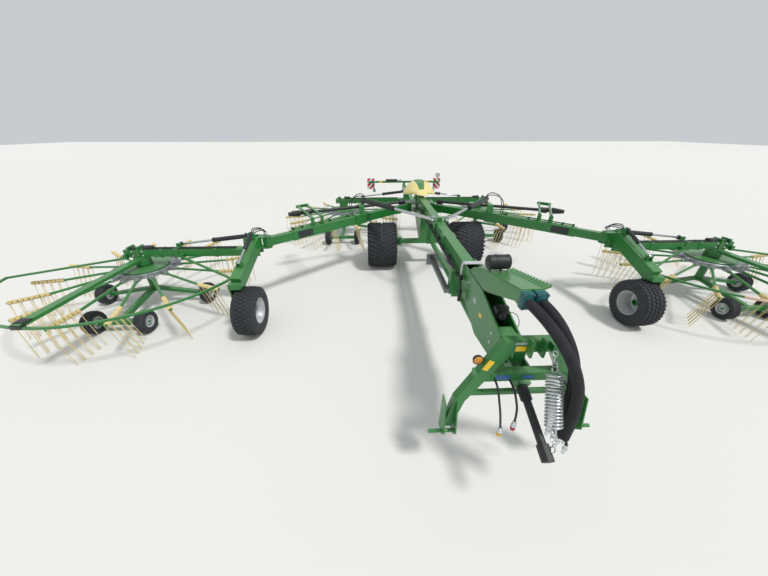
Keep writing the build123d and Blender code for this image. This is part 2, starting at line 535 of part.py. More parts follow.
# Wing head: the plates and pin that turn on the sliding tube's eye, two cheeks with the arm's pin and the ear of
# the lift cylinder, and the box leg that runs forward and down to the support wheel's bracket and stub.
support_r = support_tyre_d / 2
head_low, head_high = wing_z - turn_eye_h / 2 - plate_gap, wing_z + turn_eye_h / 2 + plate_gap
cheek_in = arm_eye_w / 2 + plate_gap
bracket_x = support_x + support_tyre_w / 2 + 30
with BuildPart() as wing_head:
    for z0 in (head_low - head_cheek, head_high):
        block((turn_x, turn_y - cheek_in, z0), (head_box_x + 10, turn_y + cheek_in, z0 + head_cheek))
        low, high = (turn_x, turn_y, z0), (turn_x, turn_y, z0 + head_cheek)
        round_bar(low, high, cheek_in)
    low, high = (turn_x, turn_y, head_low - head_cheek), (turn_x, turn_y, head_high + head_cheek)
    round_bar(low, high, turn_pin_r - pin_gap)
    ear_x, ear_z = front_pivot_x, arm_z + lift_pin_up
    cheek_outline = (
        (head_box_x, arm_z - 60), (ear_x - 40, arm_z - arm_eye_r), (ear_x + 70, arm_z - 50), (ear_x + 70, arm_z + 60),
        (ear_x + lift_eye_r, ear_z + lift_eye_r), (ear_x - lift_eye_r, ear_z + lift_eye_r), (head_box_x, head_high + head_cheek),
    )
    for y in (turn_y - cheek_in - head_cheek, turn_y + cheek_in):
        front_plate(y, y + head_cheek, cheek_outline)
    low, high = (ear_x, turn_y - cheek_in, arm_z), (ear_x, turn_y + cheek_in, arm_z)
    round_bar(low, high, arm_pin_r - pin_gap)
    low, high = (ear_x, turn_y + cheek_in, ear_z), (ear_x, turn_y + lift_side + lift_eye_r, ear_z)
    round_bar(low, high, lift_pin_r - pin_gap)
    leg_top = (head_box_x + 20, turn_y - cheek_in - head_cheek / 2, head_high - 40)
    leg_end = (foot_x, foot_y, foot_z)
    box_bar(leg_top, leg_end, leg_w, leg_h)
    block((foot_x - leg_w / 2, foot_y - 110, foot_z - 70), (bracket_x + 20, foot_y + 110, foot_z + 20))
    block((bracket_x, foot_y - 90, support_r - 60), (bracket_x + 20, foot_y + 90, foot_z + 20))
    stub_end = (support_x + support_dish - 60, support_y, support_r)
    round_bar((bracket_x + 20, support_y, support_r), stub_end, stub_r - pin_gap)
keep_pair("wing_head", wing_head.part)

# Support wheels: ribbed tyres on deep rims whose open side faces the drawbar.
with BuildPart() as support_tyre:
    tyre(support_x, support_y, support_r, support_tyre_w, support_rim_d / 2, shoulder * 0.6)
keep_pair("support_tyre", support_tyre.part)
with BuildPart() as support_rim:
    rim(support_x, support_y, support_r, support_tyre_w, support_rim_d / 2, support_dish, stub_r)
keep_pair("support_rim", support_rim.part)

# Swing cylinder: the barrel pinned on the wing's bracket, and its rod whose eye meets the main beam's bracket.
base = Vector(swing_base_x, swing_base_y, swing_cyl_z)
tip = Vector(swing_rod_x, swing_rod_y, swing_cyl_z)
reach = (base - tip).length
inward = (tip - base).normalized()
with BuildPart() as swing_barrel:
    round_bar(base + inward * 30, base + inward * swing_barrel_l, swing_barrel_r)
    round_bar(base - Vector(0, 0, 35), base + Vector(0, 0, 35), swing_eye)
    bore(base + inward * 45, base + inward * (swing_barrel_l + 1), swing_rod_r + pin_gap, bar_sides)
    bore(base - Vector(0, 0, 36), base + Vector(0, 0, 36), hitch_pin_r)
keep_pair("swing_barrel", swing_barrel.part)
with BuildPart() as swing_rod:
    round_bar(base + inward * (swing_barrel_l - 30), tip - inward * 25, swing_rod_r)
    round_bar(tip - Vector(0, 0, 25), tip + Vector(0, 0, 25), swing_eye)
    bore(tip - Vector(0, 0, 26), tip + Vector(0, 0, 26), 18)
keep_pair("swing_rod", swing_rod.part)

# Lift arms and what they carry, in turn for the front and the rear rotors: place names, pivot, rotor centre.
rotor_places = (
    ("front", front_pivot_x, front_rotor_x, front_rotor_y),
    ("rear", rear_pivot_x, rear_rotor_x, rear_rotor_y),
)
wheel_r = rotor_wheel_d / 2
arm_low = arm_z - arm_h / 2
hub_high = ring_z + ring_h
for end, pivot_x, rotor_x, rotor_y in rotor_places:
    # Lift arm: a box with an eye at its pivot, a collar at mid length, the lug of its cylinder and end fittings.
    with BuildPart() as arm:
        box_bar((pivot_x + arm_eye_r, rotor_y, arm_z), (rotor_x + arm_overhang, rotor_y, arm_z), arm_w, arm_h)
        box_bar((pivot_x + arm_eye_r - 30, rotor_y, arm_z), (pivot_x + 300, rotor_y, arm_z), arm_w + 36, arm_h - 20)
        round_bar((pivot_x, rotor_y - arm_eye_w / 2, arm_z), (pivot_x, rotor_y + arm_eye_w / 2, arm_z), arm_eye_r)
        bore((pivot_x, rotor_y - arm_w, arm_z), (pivot_x, rotor_y + arm_w, arm_z), arm_pin_r)
        collar_x = pivot_x + lift_reach
        block((collar_x - 50, rotor_y - arm_w / 2 - 15, arm_low - 15), (collar_x + 50, rotor_y + arm_w / 2 + 15, arm_z + arm_h / 2 + 15))
        block((collar_x - 40, rotor_y + 60, arm_z - 40), (collar_x + 40, rotor_y + arm_w / 2 + 30, arm_z + lift_rise + 40))
        for x in (rotor_x - 60, rotor_x + 110):
            block((x, rotor_y - arm_w / 2 - 20, arm_low), (x + 30, rotor_y + arm_w / 2 + 20, arm_z + arm_h / 2 + 60))
    keep_pair(f"{end}_arm", arm.part)

    # Lift cylinder beside the arm: pinned high beside the pivot, its far eye open beside the arm's lug.
    side_y = rotor_y + lift_side
    high_pin, far_pin = Vector(pivot_x, side_y, arm_z + lift_pin_up), Vector(pivot_x + lift_reach, side_y, arm_z + lift_rise)
    way = (far_pin - high_pin).normalized()
    cylinder_l = (far_pin - high_pin).length
    split = high_pin + way * cylinder_l * lift_barrel_share
    with BuildPart() as cylinder:
        round_bar(high_pin + way * 20, split, lift_barrel_r)
        round_bar(split, far_pin - way * 20, lift_rod_r)
        for centre in (high_pin, far_pin):
            round_bar(centre - Vector(0, 25, 0), centre + Vector(0, 25, 0), lift_eye_r)
            bore(centre - Vector(0, 26, 0), centre + Vector(0, 26, 0), lift_pin_r, bar_sides)
    keep_pair(f"{end}_cylinder", cylinder.part)

    # Rotor chassis: the post that the rotor turns on, its gearbox under the arm, and the bars to the wheels.
    with BuildPart() as chassis:
        round_bar((rotor_x, rotor_y, chassis_z - 60), (rotor_x, rotor_y, arm_low), post_r)
        round_bar((rotor_x, rotor_y, hub_high + 40), (rotor_x, rotor_y, arm_low), 2 * post_r)
        round_bar((rotor_x, rotor_y, ring_z - 40), (rotor_x, rotor_y, ring_z - pin_gap), 1.5 * post_r)
        nose = (rotor_x, rotor_y - front_pair_ahead, wheel_r)
        box_bar((rotor_x, rotor_y, chassis_z), nose, chassis_bar, chassis_bar)
        inner_half = front_pair_half - rotor_wheel_w / 2 - plate_gap * 10
        box_bar((rotor_x - inner_half, nose[1], wheel_r), (rotor_x + inner_half, nose[1], wheel_r), chassis_bar, chassis_bar)
        for side in (-1, 1):
            stub = (rotor_x + side * (front_pair_half + rotor_wheel_w / 2), nose[1], wheel_r)
            round_bar((rotor_x + side * inner_half, nose[1], wheel_r), stub, rotor_stub_r - pin_gap)
            root = (rotor_x + side * (side_pair_half - rotor_wheel_w / 2 - plate_gap * 10), rotor_y, wheel_r)
            box_bar((rotor_x, rotor_y, chassis_z), root, chassis_bar, chassis_bar * 0.8)
            stub = (rotor_x + side * (side_pair_half + rotor_wheel_w / 2), rotor_y, wheel_r)
            round_bar(root, stub, rotor_stub_r - pin_gap)
        if end == "front":
            # Support beam and guard hoop ahead of the rotor, with the bars that hold the hoop's two ends.
            tip_x, tip_y = rotor_x + 240, rotor_y - hoop_r
            box_bar((rotor_x, rotor_y - 100, arm_low - 40), (tip_x, tip_y, hoop_z + 30), 130, 50)
            ends = []
            for angle in (hoop_from, hoop_to):
                a = radians(angle)
                ends.append((rotor_x + hoop_r * cos(a), rotor_y + hoop_r * sin(a), hoop_z))
            a = radians(hoop_from)
            arc_face = Plane(origin=ends[0], x_dir=(cos(a), sin(a), 0), z_dir=(sin(a), -cos(a), 0))
            with BuildSketch(arc_face) as section:
                Rectangle(hoop_tube, hoop_tube)
            revolve(section.sketch, axis=Axis((rotor_x, rotor_y, 0), (0, 0, 1)), revolution_arc=hoop_to - hoop_from)
            for centre_x, foot in ((rotor_x - 830, ends[0]), (rotor_x + arm_overhang - 40, ends[1])):
                low, high = (centre_x - 30, rotor_y - arm_w / 2 - 60, arm_z - 90), (centre_x + 30, rotor_y - arm_w / 2, arm_z)
                block(low, high)
                box_bar(foot, (centre_x, rotor_y - arm_w / 2 - 40, arm_z - 70), hoop_tube, hoop_tube)
    keep_pair(f"{end}_chassis", chassis.part)

    # Wheels under the rotor: the front pair and the side pair, each pair on one axle line.
    for pair, half_track, y in (("front", front_pair_half, rotor_y - front_pair_ahead), ("side", side_pair_half, rotor_y)):
        with BuildPart() as wheels:
            for side in (-1, 1):
                x = rotor_x + side * half_track
                half = rotor_wheel_w / 2
                disc(x - half, x + half, y, wheel_r, wheel_r, rim_sides)
                bore((x - half, y, wheel_r), (x + half, y, wheel_r), rotor_stub_r, bar_sides)
        keep_pair(f"{end}_rotor_{pair}_wheels", wheels.part)

# Rotor: ring, cover and arm bearings, with the arms and their combs of spring tines joined by what carries them.
with BuildPart() as tine_arm:
    box_bar((arm_root_r, 0, arm_root_z), (tine_in + tine_bar / 2, 0, tine_bar_z), arm_tube, arm_tube)
    block((tine_in, -tine_bar / 2, tine_bar_z - tine_bar / 2), (tine_out, tine_bar / 2, tine_bar_z + tine_bar / 2))
    lean = radians(tine_lean)
    comb_face = Plane(origin=((tine_in + tine_out) / 2, 0, tine_bar_z), x_dir=(1, 0, 0), z_dir=(0, -sin(lean), -cos(lean)))
    with BuildSketch(comb_face) as feet:
        with GridLocations(tine_pitch, 0, tines_per_arm, 1):
            with GridLocations(tine_pair, 0, 2, 1):
                RegularPolygon(tine_r, 3)
    extrude(feet.sketch, amount=(tine_bar_z - tine_clear) / cos(lean) - tine_r)
with BuildPart() as rotor:
    round_bar((0, 0, ring_z), (0, 0, ring_z + ring_h), ring_r, arm_count)
    round_bar((0, 0, ring_z + ring_h), (0, 0, ring_z + ring_h + cover_h), cover_r, arm_count)
    with PolarLocations(0, arm_count, start_angle=180 / arm_count):
        add(tine_arm.part)
    bore((0, 0, ring_z - 1), (0, 0, ring_z + ring_h + cover_h + 1), post_r + pin_gap, bar_sides)
for end, pivot_x, rotor_x, rotor_y in rotor_places:
    keep_pair(f"{end}_rotor", rotor.part.moved(Location((rotor_x, rotor_y, 0))))
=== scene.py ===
import math

import bpy
from mathutils import Matrix, Vector


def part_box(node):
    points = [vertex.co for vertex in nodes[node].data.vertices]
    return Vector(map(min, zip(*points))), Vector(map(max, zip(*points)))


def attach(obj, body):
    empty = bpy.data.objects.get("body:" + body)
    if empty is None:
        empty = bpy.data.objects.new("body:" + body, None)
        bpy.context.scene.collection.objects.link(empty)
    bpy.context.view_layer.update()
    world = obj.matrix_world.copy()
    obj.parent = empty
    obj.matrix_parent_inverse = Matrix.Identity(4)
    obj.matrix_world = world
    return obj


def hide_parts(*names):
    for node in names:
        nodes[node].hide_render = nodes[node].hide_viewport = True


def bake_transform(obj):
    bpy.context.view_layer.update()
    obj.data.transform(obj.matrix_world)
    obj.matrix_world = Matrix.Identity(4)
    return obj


# A towed hay rake with four rotors, parked in its working position. Metres, +Z up, +Y to the rear of the
# machine, the origin on the ground a quarter metre ahead of the main axle.
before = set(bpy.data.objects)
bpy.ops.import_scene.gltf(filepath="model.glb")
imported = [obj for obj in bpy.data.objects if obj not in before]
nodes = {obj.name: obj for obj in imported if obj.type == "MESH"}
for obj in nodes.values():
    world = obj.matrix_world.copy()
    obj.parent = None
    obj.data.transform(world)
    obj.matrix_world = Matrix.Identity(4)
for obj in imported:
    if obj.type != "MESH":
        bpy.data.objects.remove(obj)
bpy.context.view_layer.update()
bpy.ops.object.select_all(action="DESELECT")

# View from the tractor's seat, high over the hitch and looking back along the drawbar.
seat_eye = Vector((-1.264, -6.675, 3.12))
view_turn, view_drop = math.radians(2.2), math.radians(29.0)
bpy.ops.object.camera_add(location=seat_eye)
camera = bpy.context.object
ahead = Vector((math.sin(view_turn), math.cos(view_turn), 0)) * math.cos(view_drop)
look = ahead - Vector((0, 0, math.sin(view_drop)))
camera.rotation_euler = look.to_track_quat("-Z", "Y").to_euler()
camera.data.sensor_width = 36
camera.data.lens = 13.5
camera.data.clip_end = 400
bpy.context.scene.camera = camera

# Open sky and one broad sun, as on a bright day under thin cloud. Their level renders a colour as written.
scene = bpy.context.scene
scene.view_settings.view_transform = "Standard"
world = bpy.data.worlds.new("open_sky")
scene.world = world
world.use_nodes = True
world.node_tree.nodes["Background"].inputs["Color"].default_value = (0.93, 0.97, 1, 1)
world.node_tree.nodes["Background"].inputs["Strength"].default_value = 0.62
bpy.ops.object.light_add(type="SUN", location=(6, -4, 20))
sun = bpy.context.object
sun.data.energy = 2.1
sun.data.angle = math.radians(9)
sun.rotation_euler = Vector((-0.45, 0.35, -1)).to_track_quat("-Z", "Y").to_euler()


def linear(code):
    """A colour's sRGB hex code as linear red, green, blue and alpha."""
    parts = [int(code[i:i + 2], 16) / 255 for i in (0, 2, 4)]
    return tuple(p / 12.92 if p <= 0.04045 else ((p + 0.055) / 1.055) ** 2.4 for p in parts) + (1,)


def add_node(tree, kind, inputs=None, **settings):
    """Adds one node to a material, with its settings, values and links."""
    made = tree.nodes.new(kind)
    for name, value in settings.items():
        setattr(made, name, value)
    for name, value in (inputs or {}).items():
        if isinstance(value, bpy.types.NodeSocket):
            tree.links.new(value, made.inputs[name])
        else:
            made.inputs[name].default_value = value
    return made


def new_material(name):
    """An empty material, its node tree and its surface shader."""
    material = bpy.data.materials.new(name)
    material.use_nodes = True
    return material, material.node_tree, material.node_tree.nodes["Principled BSDF"]


def worked_out(tree, operation, *values):
    """The result of one operation on one or two values in a material."""
    return add_node(tree, "ShaderNodeMath", dict(enumerate(values)), operation=operation).outputs["Value"]


def mixed(tree, share, low, high):
    """The colour between two colours by a share from 0 to 1."""
    colours = {"Factor": share, "A": low, "B": high}
    return add_node(tree, "ShaderNodeMix", colours, data_type="RGBA").outputs["Result"]


def clouded(name, low, high, grain, surface, kind="Noise"):
    """A material clouded between two close colours by a grain, with the values of its surface."""
    material, tree, shader = new_material(name)
    place = add_node(tree, "ShaderNodeTexCoord")
    cloud = add_node(tree, "ShaderNodeTex" + kind, {"Vector": place.outputs["Object"], **grain})
    share = cloud.outputs["Distance" if kind == "Voronoi" else "Fac"]
    tree.links.new(mixed(tree, share, linear(low), linear(high)), shader.inputs["Base Color"])
    for setting, value in surface.items():
        shader.inputs[setting].default_value = value
    place.name, cloud.name = "place", "cloud"
    return material


def in_relief(material, height, strength, depth):
    """Lets a pattern stand out of a material's surface."""
    tree = material.node_tree
    relief = add_node(tree, "ShaderNodeBump", {"Height": height, "Strength": strength, "Distance": depth})
    tree.links.new(relief.outputs["Normal"], tree.nodes["Principled BSDF"].inputs["Normal"])


# Floor: pale, matt and level, far wider than the rake, so that the rake's soft shadow falls on plain white.
bpy.ops.mesh.primitive_plane_add(size=160, location=(0, 0, -0.001))
floor = bpy.context.object
floor.name = "floor"
material, tree, shader = new_material("pale_floor")
shader.inputs["Roughness"].default_value = 0.95
grain = add_node(tree, "ShaderNodeTexNoise", {"Scale": 3.0, "Detail": 4.0})
tone = mixed(tree, grain.outputs["Fac"], linear("dedcd6"), linear("e8e7e3"))
tree.links.new(tone, shader.inputs["Base Color"])
floor.data.materials.append(material)

# Frame, wings, arms and hitch: welded steel box section, shot blasted and sprayed with green enamel.
# The coat gives a slow gloss with a fine orange peel, and is painted paler where it faces up: painted
# sunlight on the tops, broken into specks of dust.
green_enamel = clouded(
    "green_enamel_on_steel", "1c6a2c", "2b8238", {"Scale": 1.7, "Detail": 5.0, "Roughness": 0.6},
    {"Coat Weight": 0.25, "Coat Roughness": 0.18},
)
tree = green_enamel.node_tree
place, shader = tree.nodes["place"], tree.nodes["Principled BSDF"]
coat = shader.inputs["Base Color"].links[0].from_socket
# Faces turned up are mixed towards pale green 86a878 in specks: painted light on the sunlit tops, together
# with dust.
facing_up = add_node(
    tree, "ShaderNodeSeparateXYZ", {"Vector": add_node(tree, "ShaderNodeNewGeometry").outputs["Normal"]},
)
specks = add_node(
    tree, "ShaderNodeTexNoise",
    {"Vector": place.outputs["Object"], "Scale": 23.0, "Detail": 8.0, "Roughness": 0.7},
)
level = add_node(
    tree, "ShaderNodeMapRange",
    {"Value": facing_up.outputs["Z"], "From Min": 0.2, "From Max": 1.0, "To Min": 0.0, "To Max": 0.5},
)
dust_and_painted_light = worked_out(tree, "MULTIPLY", level.outputs["Result"], specks.outputs["Fac"])
tree.links.new(mixed(tree, dust_and_painted_light, coat, linear("86a878")), shader.inputs["Base Color"])
gloss = add_node(
    tree, "ShaderNodeMapRange", {"Value": specks.outputs["Fac"], "To Min": 0.26, "To Max": 0.46},
)
tree.links.new(gloss.outputs["Result"], shader.inputs["Roughness"])
peel = add_node(
    tree, "ShaderNodeTexNoise", {"Vector": place.outputs["Object"], "Scale": 260.0, "Detail": 2.0},
)
in_relief(green_enamel, peel.outputs["Fac"], 0.06, 0.001)


def modified(piece, kind, **settings):
    """Adds a modifier to a piece, with its settings."""
    made = piece.modifiers.new(kind.lower(), kind)
    for name, value in settings.items():
        setattr(made, name, value)


def finish_steel(name, finish, edge=0.004):
    """Gives a piece its finish, joins its loose faces and rounds its edges as the press brake does."""
    body = nodes[name]
    body.data.materials.clear()
    body.data.materials.append(finish)
    modified(body, "WELD", merge_threshold=0.0002)
    by_angle = {"limit_method": "ANGLE", "angle_limit": math.radians(34)}
    modified(body, "BEVEL", width=edge, segments=2, harden_normals=True, **by_angle)


sides = (("right", 1), ("left", -1))
painted = [
    "main_beam", "tower", "rear_beam", "axle_beam", "steering_rod", "drawbar_head", "hose_arm",
    "hitch_block", "yoke",
]
wing_nodes = (
    "knuckle", "wing_beam", "slide_tube", "wing_head", "front_arm", "rear_arm", "front_chassis",
    "rear_chassis",
)
painted += [f"{part}_{side}" for side, g in sides for part in wing_nodes]
for name in painted:
    finish_steel(name, green_enamel)

# Drive shafts: black ribbed polyethylene guards over the steel shafts, with wider cones at their ends.
# Dull, slightly waxy, greyed where they have rubbed.
guard_black = clouded(
    "black_polyethylene_guard", "16181a", "2e3133", {"Scale": 9.0, "Detail": 7.0}, {"Roughness": 0.52},
)
for name in ("pto_shaft", "drive_shaft_right", "drive_shaft_left"):
    finish_steel(name, guard_black, 0.003)

# Jack: a square galvanised leg on a plate foot, its zinc dull grey with large faint spangles.
zinc = clouded(
    "galvanised_steel", "5f6466", "8b9092", {"Scale": 70.0}, {"Metallic": 0.9, "Roughness": 0.42},
    "Voronoi",
)
finish_steel("jack", zinc, 0.003)

# Main wheels: flotation tyres of moulded black rubber, with two rows of slanting bars that meet in a zigzag.
# The rubber is dull grey black, pitted, and clouded with dust.
tyre_rubber = clouded(
    "moulded_tyre_rubber", "191b1f", "3d4045", {"Scale": 14.0, "Detail": 8.0, "Roughness": 0.65},
    {"Roughness": 0.78},
)
place = tyre_rubber.node_tree.nodes["place"]
grain = {"Vector": place.outputs["Object"], "Scale": 180.0, "Detail": 3.0}
pits = add_node(tyre_rubber.node_tree, "ShaderNodeTexNoise", grain)
in_relief(tyre_rubber, pits.outputs["Fac"], 0.3, 0.002)


def turned(name, outline, centre, steps, axis=(1, 0, 0)):
    """A ring turned about an axle. The outline's points run along the axle and out from it, and close."""
    bpy.ops.mesh.primitive_circle_add(vertices=len(outline), radius=0.01, location=(0, 0, 0))
    ring = bpy.context.object
    ring.name = name
    along = Vector(axis)
    out = Vector((0, 0, 1)) if abs(along.z) < 0.5 else Vector((0, -1, 0))
    for vertex, (a, r) in zip(ring.data.vertices, outline):
        vertex.co = Vector(centre) + along * a + out * r
    bpy.ops.object.mode_set(mode="EDIT")
    bpy.ops.mesh.select_all(action="SELECT")
    bpy.ops.mesh.spin(steps=steps, angle=2 * math.pi, center=centre, axis=axis)
    bpy.ops.mesh.select_all(action="SELECT")
    bpy.ops.mesh.remove_doubles(threshold=0.0001)
    bpy.ops.mesh.normals_make_consistent(inside=False)
    bpy.ops.object.mode_set(mode="OBJECT")
    bpy.ops.object.shade_smooth_by_angle(angle=math.radians(32))
    return ring


def copied(piece, move):
    """A copy of a piece, with its own mesh, moved by a matrix."""
    twin = piece.copy()
    twin.data = piece.data.copy()
    twin.data.transform(move)
    scene.collection.objects.link(twin)
    return twin


def joined(pieces, name):
    """Makes one piece of several."""
    bpy.ops.object.select_all(action="DESELECT")
    for piece in pieces:
        piece.select_set(True)
    bpy.context.view_layer.objects.active = pieces[0]
    bpy.ops.object.join()
    whole = bpy.context.object
    whole.name = name
    return whole


def dressed(piece, finish, body, stands_for=()):
    """Gives a piece its finish and body, and hides the plain solids that it stands for."""
    if not piece.data.materials:
        piece.data.materials.append(finish)
    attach(piece, body)
    if stands_for:
        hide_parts(*stands_for)
    return piece


def round_edges(edge, segments=1):
    """Rounds all edges of the piece that was made last."""
    bpy.ops.object.mode_set(mode="EDIT")
    bpy.ops.mesh.select_all(action="SELECT")
    bpy.ops.mesh.bevel(offset=edge, segments=segments, affect="EDGES")
    bpy.ops.object.mode_set(mode="OBJECT")


def bar_of_tread(size, centre, slant, edge, axle):
    """One moulded bar of a tread, slanted across the tyre at its top."""
    bpy.ops.mesh.primitive_cube_add(size=1, location=(0, 0, 0))
    bar = bpy.context.object
    bar.data.transform(Matrix.Diagonal((*size, 1)))
    round_edges(edge)
    bar.data.transform(Matrix.Translation(Vector(axle) + Vector(centre)) @ Matrix.Rotation(slant, 4, "Z"))
    return bar


def around(axle, angle):
    """The matrix that turns about an axle along X."""
    return Matrix.Translation(axle) @ Matrix.Rotation(angle, 4, "X") @ Matrix.Translation(-Vector(axle))


def both_halves(half):
    """A symmetrical outline from its first half."""
    return half + [(-a, r) for a, r in reversed(half)]


main_axle = Vector((1.05, 0.25, 0.545))
main_r, main_half, bead_r, bar_h, bars = 0.545, 0.35, 0.286, 0.02, 34
crown = main_r - bar_h
outline = both_halves([
    (-0.318, bead_r), (-0.338, bead_r + 0.012), (-main_half + 0.002, bead_r + 0.06),
    (-main_half, crown - 0.11), (-main_half + 0.012, crown - 0.05), (-main_half + 0.05, crown - 0.012),
    (-0.2, crown),
])
pieces = [turned("main_tyre_tread_right", outline, main_axle, 72)]
bar_size, lug_size = (0.31, 0.036, 0.034), (0.05, 0.05, 0.09)
bar_x, bar_slant, lug_x = 0.168, math.radians(24), main_half - 0.022
patterns = []
for g, bar_offset, lug_offset in ((1, 0, 0.28), (-1, 0.5, 0.78)):
    bar = bar_of_tread(bar_size, (bar_x * g, 0, crown + 0.001), bar_slant * g, 0.006, main_axle)
    lug = bar_of_tread(lug_size, (lug_x * g, 0, crown - 0.045), 0, 0.008, main_axle)
    patterns += [(bar, bar_offset), (lug, lug_offset)]
for number in range(bars):
    for bar, offset in patterns:
        pieces.append(copied(bar, around(main_axle, 2 * math.pi / bars * (number + offset))))
for bar, offset in patterns:
    bpy.data.objects.remove(bar)
main_tread = joined(pieces, "main_tyre_tread_right")
to_left = Matrix.Scale(-1, 4, (1, 0, 0))


def mirrored(piece, name):
    """The left twin of a right piece, its faces turned outwards again."""
    twin = copied(piece, to_left)
    twin.name = name
    twin.data.flip_normals()
    return twin


def both_sides(piece, name, finish, body, node=None):
    """Dresses a right piece and its left twin, each on its own side's body and for its own side's node."""
    piece.name = name + "_right"
    twin = mirrored(piece, name + "_left")
    for each, side in ((piece, "right"), (twin, "left")):
        dressed(each, finish, f"{body}_{side}", [f"{node}_{side}"] if node else ())


both_sides(main_tread, "main_tyre_tread", tyre_rubber, "main_wheel", "main_tyre")

# Main rims: pressed steel in silver paint, with rolled flanges, a dropped centre and a dished disc.
# Eight nuts clamp the disc to a green cast hub that ends in a domed grease cap.
silver_rim = clouded(
    "silver_paint_on_pressed_steel", "b4b8ba", "d6d9da", {"Scale": 30.0, "Detail": 6.0},
    {"Metallic": 0.35, "Roughness": 0.38},
)


def nuts(count, pitch_r, size, depth, centre):
    """A circle of hexagonal nuts round an axle along X, joined to one piece."""
    made = []
    for number in range(count):
        angle = 2 * math.pi * number / count
        bpy.ops.mesh.primitive_cylinder_add(vertices=6, radius=size, depth=depth, location=(0, 0, 0))
        nut = bpy.context.object
        round_edges(size * 0.12)
        offset = Vector((0, pitch_r * math.cos(angle), pitch_r * math.sin(angle)))
        nut.data.transform(
            Matrix.Translation(Vector(centre) + offset) @ Matrix.Rotation(math.pi / 2, 4, "Y"),
        )
        made.append(nut)
    return joined(made, "nuts")


def wheel_rim(name, centre, half, bead, disc_at, hub):
    """A rim in two pieces: the painted barrel and disc with its nuts, and the green hub."""
    centre = Vector(centre)
    drop, wall, lip = 0.13 * bead, 0.009, 0.016
    skin = both_halves([
        (-half, bead + lip), (-half + 0.008, bead + lip + 0.002), (-half + 0.014, bead),
        (-0.62 * half, bead - 0.004), (-0.34 * half, bead - drop),
    ])
    back = [(a * 0.985, r - wall) for a, r in reversed(skin)]
    barrel = turned(name, skin + back, centre, 48)
    dish = [
        (disc_at, hub * 0.5), (disc_at, hub * 1.15), (disc_at + 0.022, hub * 1.3),
        (disc_at + 0.028, bead - drop - 0.03), (disc_at + 0.012, bead - drop),
    ]
    disc = turned(name + "_disc", dish + [(a - wall, r) for a, r in reversed(dish)], centre, 48)
    ring = nuts(8, hub * 0.82, 0.015, 0.024, centre + Vector((disc_at + 0.008, 0, 0)))
    rim = joined([barrel, disc, ring], name)
    bore = 0.046
    cap = [
        (-0.1, bore), (-0.1, hub * 0.62), (-0.012, hub * 0.72), (0.05, hub * 0.5), (0.075, hub * 0.42),
        (0.09, hub * 0.22), (0.093, 0.002), (0.05, 0.002), (0.03, bore),
    ]
    cap = [(disc_at + a, r) for a, r in cap]
    return rim, turned(name + "_hub", cap, centre, 32)


def wheel_pieces(kind, rim, hub):
    """Dresses both sides' rims and hubs."""
    both_sides(rim, f"{kind}_rim_barrel", silver_rim, f"{kind}_wheel", f"{kind}_rim")
    hub_left = mirrored(hub, f"{kind}_rim_hub_left")
    dressed(hub, green_enamel, f"{kind}_wheel_right")
    dressed(hub_left, green_enamel, f"{kind}_wheel_left")


wheel_pieces("main", *wheel_rim("main_rim_barrel_right", main_axle, 0.33, bead_r, 0.04, 0.11))

# Support wheels: the same kind of rim, with a tyre whose tread blocks stand in five rows round it.
# The blocks of each row stand half a pitch from those of the next, so that the grooves run as waves.
support_axle = Vector((3.365, -2.5, 0.415))
support_r, support_half, support_bead, block_h = 0.415, 0.18, 0.216, 0.016
crown = support_r - block_h
outline = both_halves([
    (-0.158, support_bead), (-0.172, support_bead + 0.014), (-support_half + 0.002, support_bead + 0.06),
    (-support_half, crown - 0.07), (-support_half + 0.012, crown - 0.026),
    (-support_half + 0.04, crown - 0.004), (-0.08, crown),
])
pieces = [turned("support_tyre_tread_right", outline, support_axle, 60)]
rows, blocks = 5, 38
row_w = 2 * (support_half - 0.02) / rows
block_size = (row_w - 0.012, 0.048, 0.03)
for row in range(rows):
    row_x = (row - (rows - 1) / 2) * row_w
    slant = math.radians(14 if row % 2 else -14)
    lowered = 0.010 if row in (0, rows - 1) else 0
    block = bar_of_tread(block_size, (row_x, 0, crown + 0.001 - lowered), slant, 0.005, support_axle)
    for number in range(blocks):
        angle = 2 * math.pi * (number + 0.5 * (row % 2)) / blocks
        pieces.append(copied(block, around(support_axle, angle)))
    bpy.data.objects.remove(block)
support_tread = joined(pieces, "support_tyre_tread_right")
both_sides(support_tread, "support_tyre_tread", tyre_rubber, "support_wheel", "support_tyre")
support_rim = wheel_rim("support_rim_barrel_right", support_axle, 0.168, support_bead, 0.075, 0.085)
wheel_pieces("support", *support_rim)

# Wheels under the rotors: small ribbed pneumatic tyres on light two part rims, in pairs on one axle line.
# They run close under the tines, and the rims bolt together round a plain hub.
rotor_centres = {"front": Vector((5.66, -1.44, 0)), "rear": Vector((2.2, 2.85, 0))}
wheel_r, wheel_half = 0.2, 0.0825
groove_r, rib_edge_r = wheel_r - 0.007, wheel_r - 0.003
half = [
    (-0.06, 0.1), (-0.07, 0.106), (-wheel_half, 0.15), (-wheel_half + 0.006, 0.18), (-0.05, rib_edge_r),
    (-0.03, wheel_r), (-0.024, groove_r), (-0.018, wheel_r), (-0.003, wheel_r),
]
outline = half + [(0, groove_r)] + both_halves(half)[len(half):]
small_tyre = turned("small_tyre", outline, (0, 0, wheel_r), 36)
outline = [
    (-0.07, 0.108), (-0.062, 0.112), (-0.056, 0.1), (0.056, 0.1), (0.062, 0.112), (0.07, 0.108),
    (0.058, 0.09), (0.02, 0.088), (0.012, 0.05), (0.05, 0.042), (0.05, 0.021), (-0.05, 0.021),
    (-0.05, 0.042), (-0.012, 0.05), (-0.02, 0.088), (-0.058, 0.09),
]
small_rim_ring = turned("small_rim", outline, (0, 0, wheel_r), 28)
small_rim = joined([small_rim_ring, nuts(5, 0.066, 0.009, 0.05, (0, 0, wheel_r))], "small_rim")
small_wheel = ((small_tyre, tyre_rubber, "tyre"), (small_rim, silver_rim, "silver_rim"))
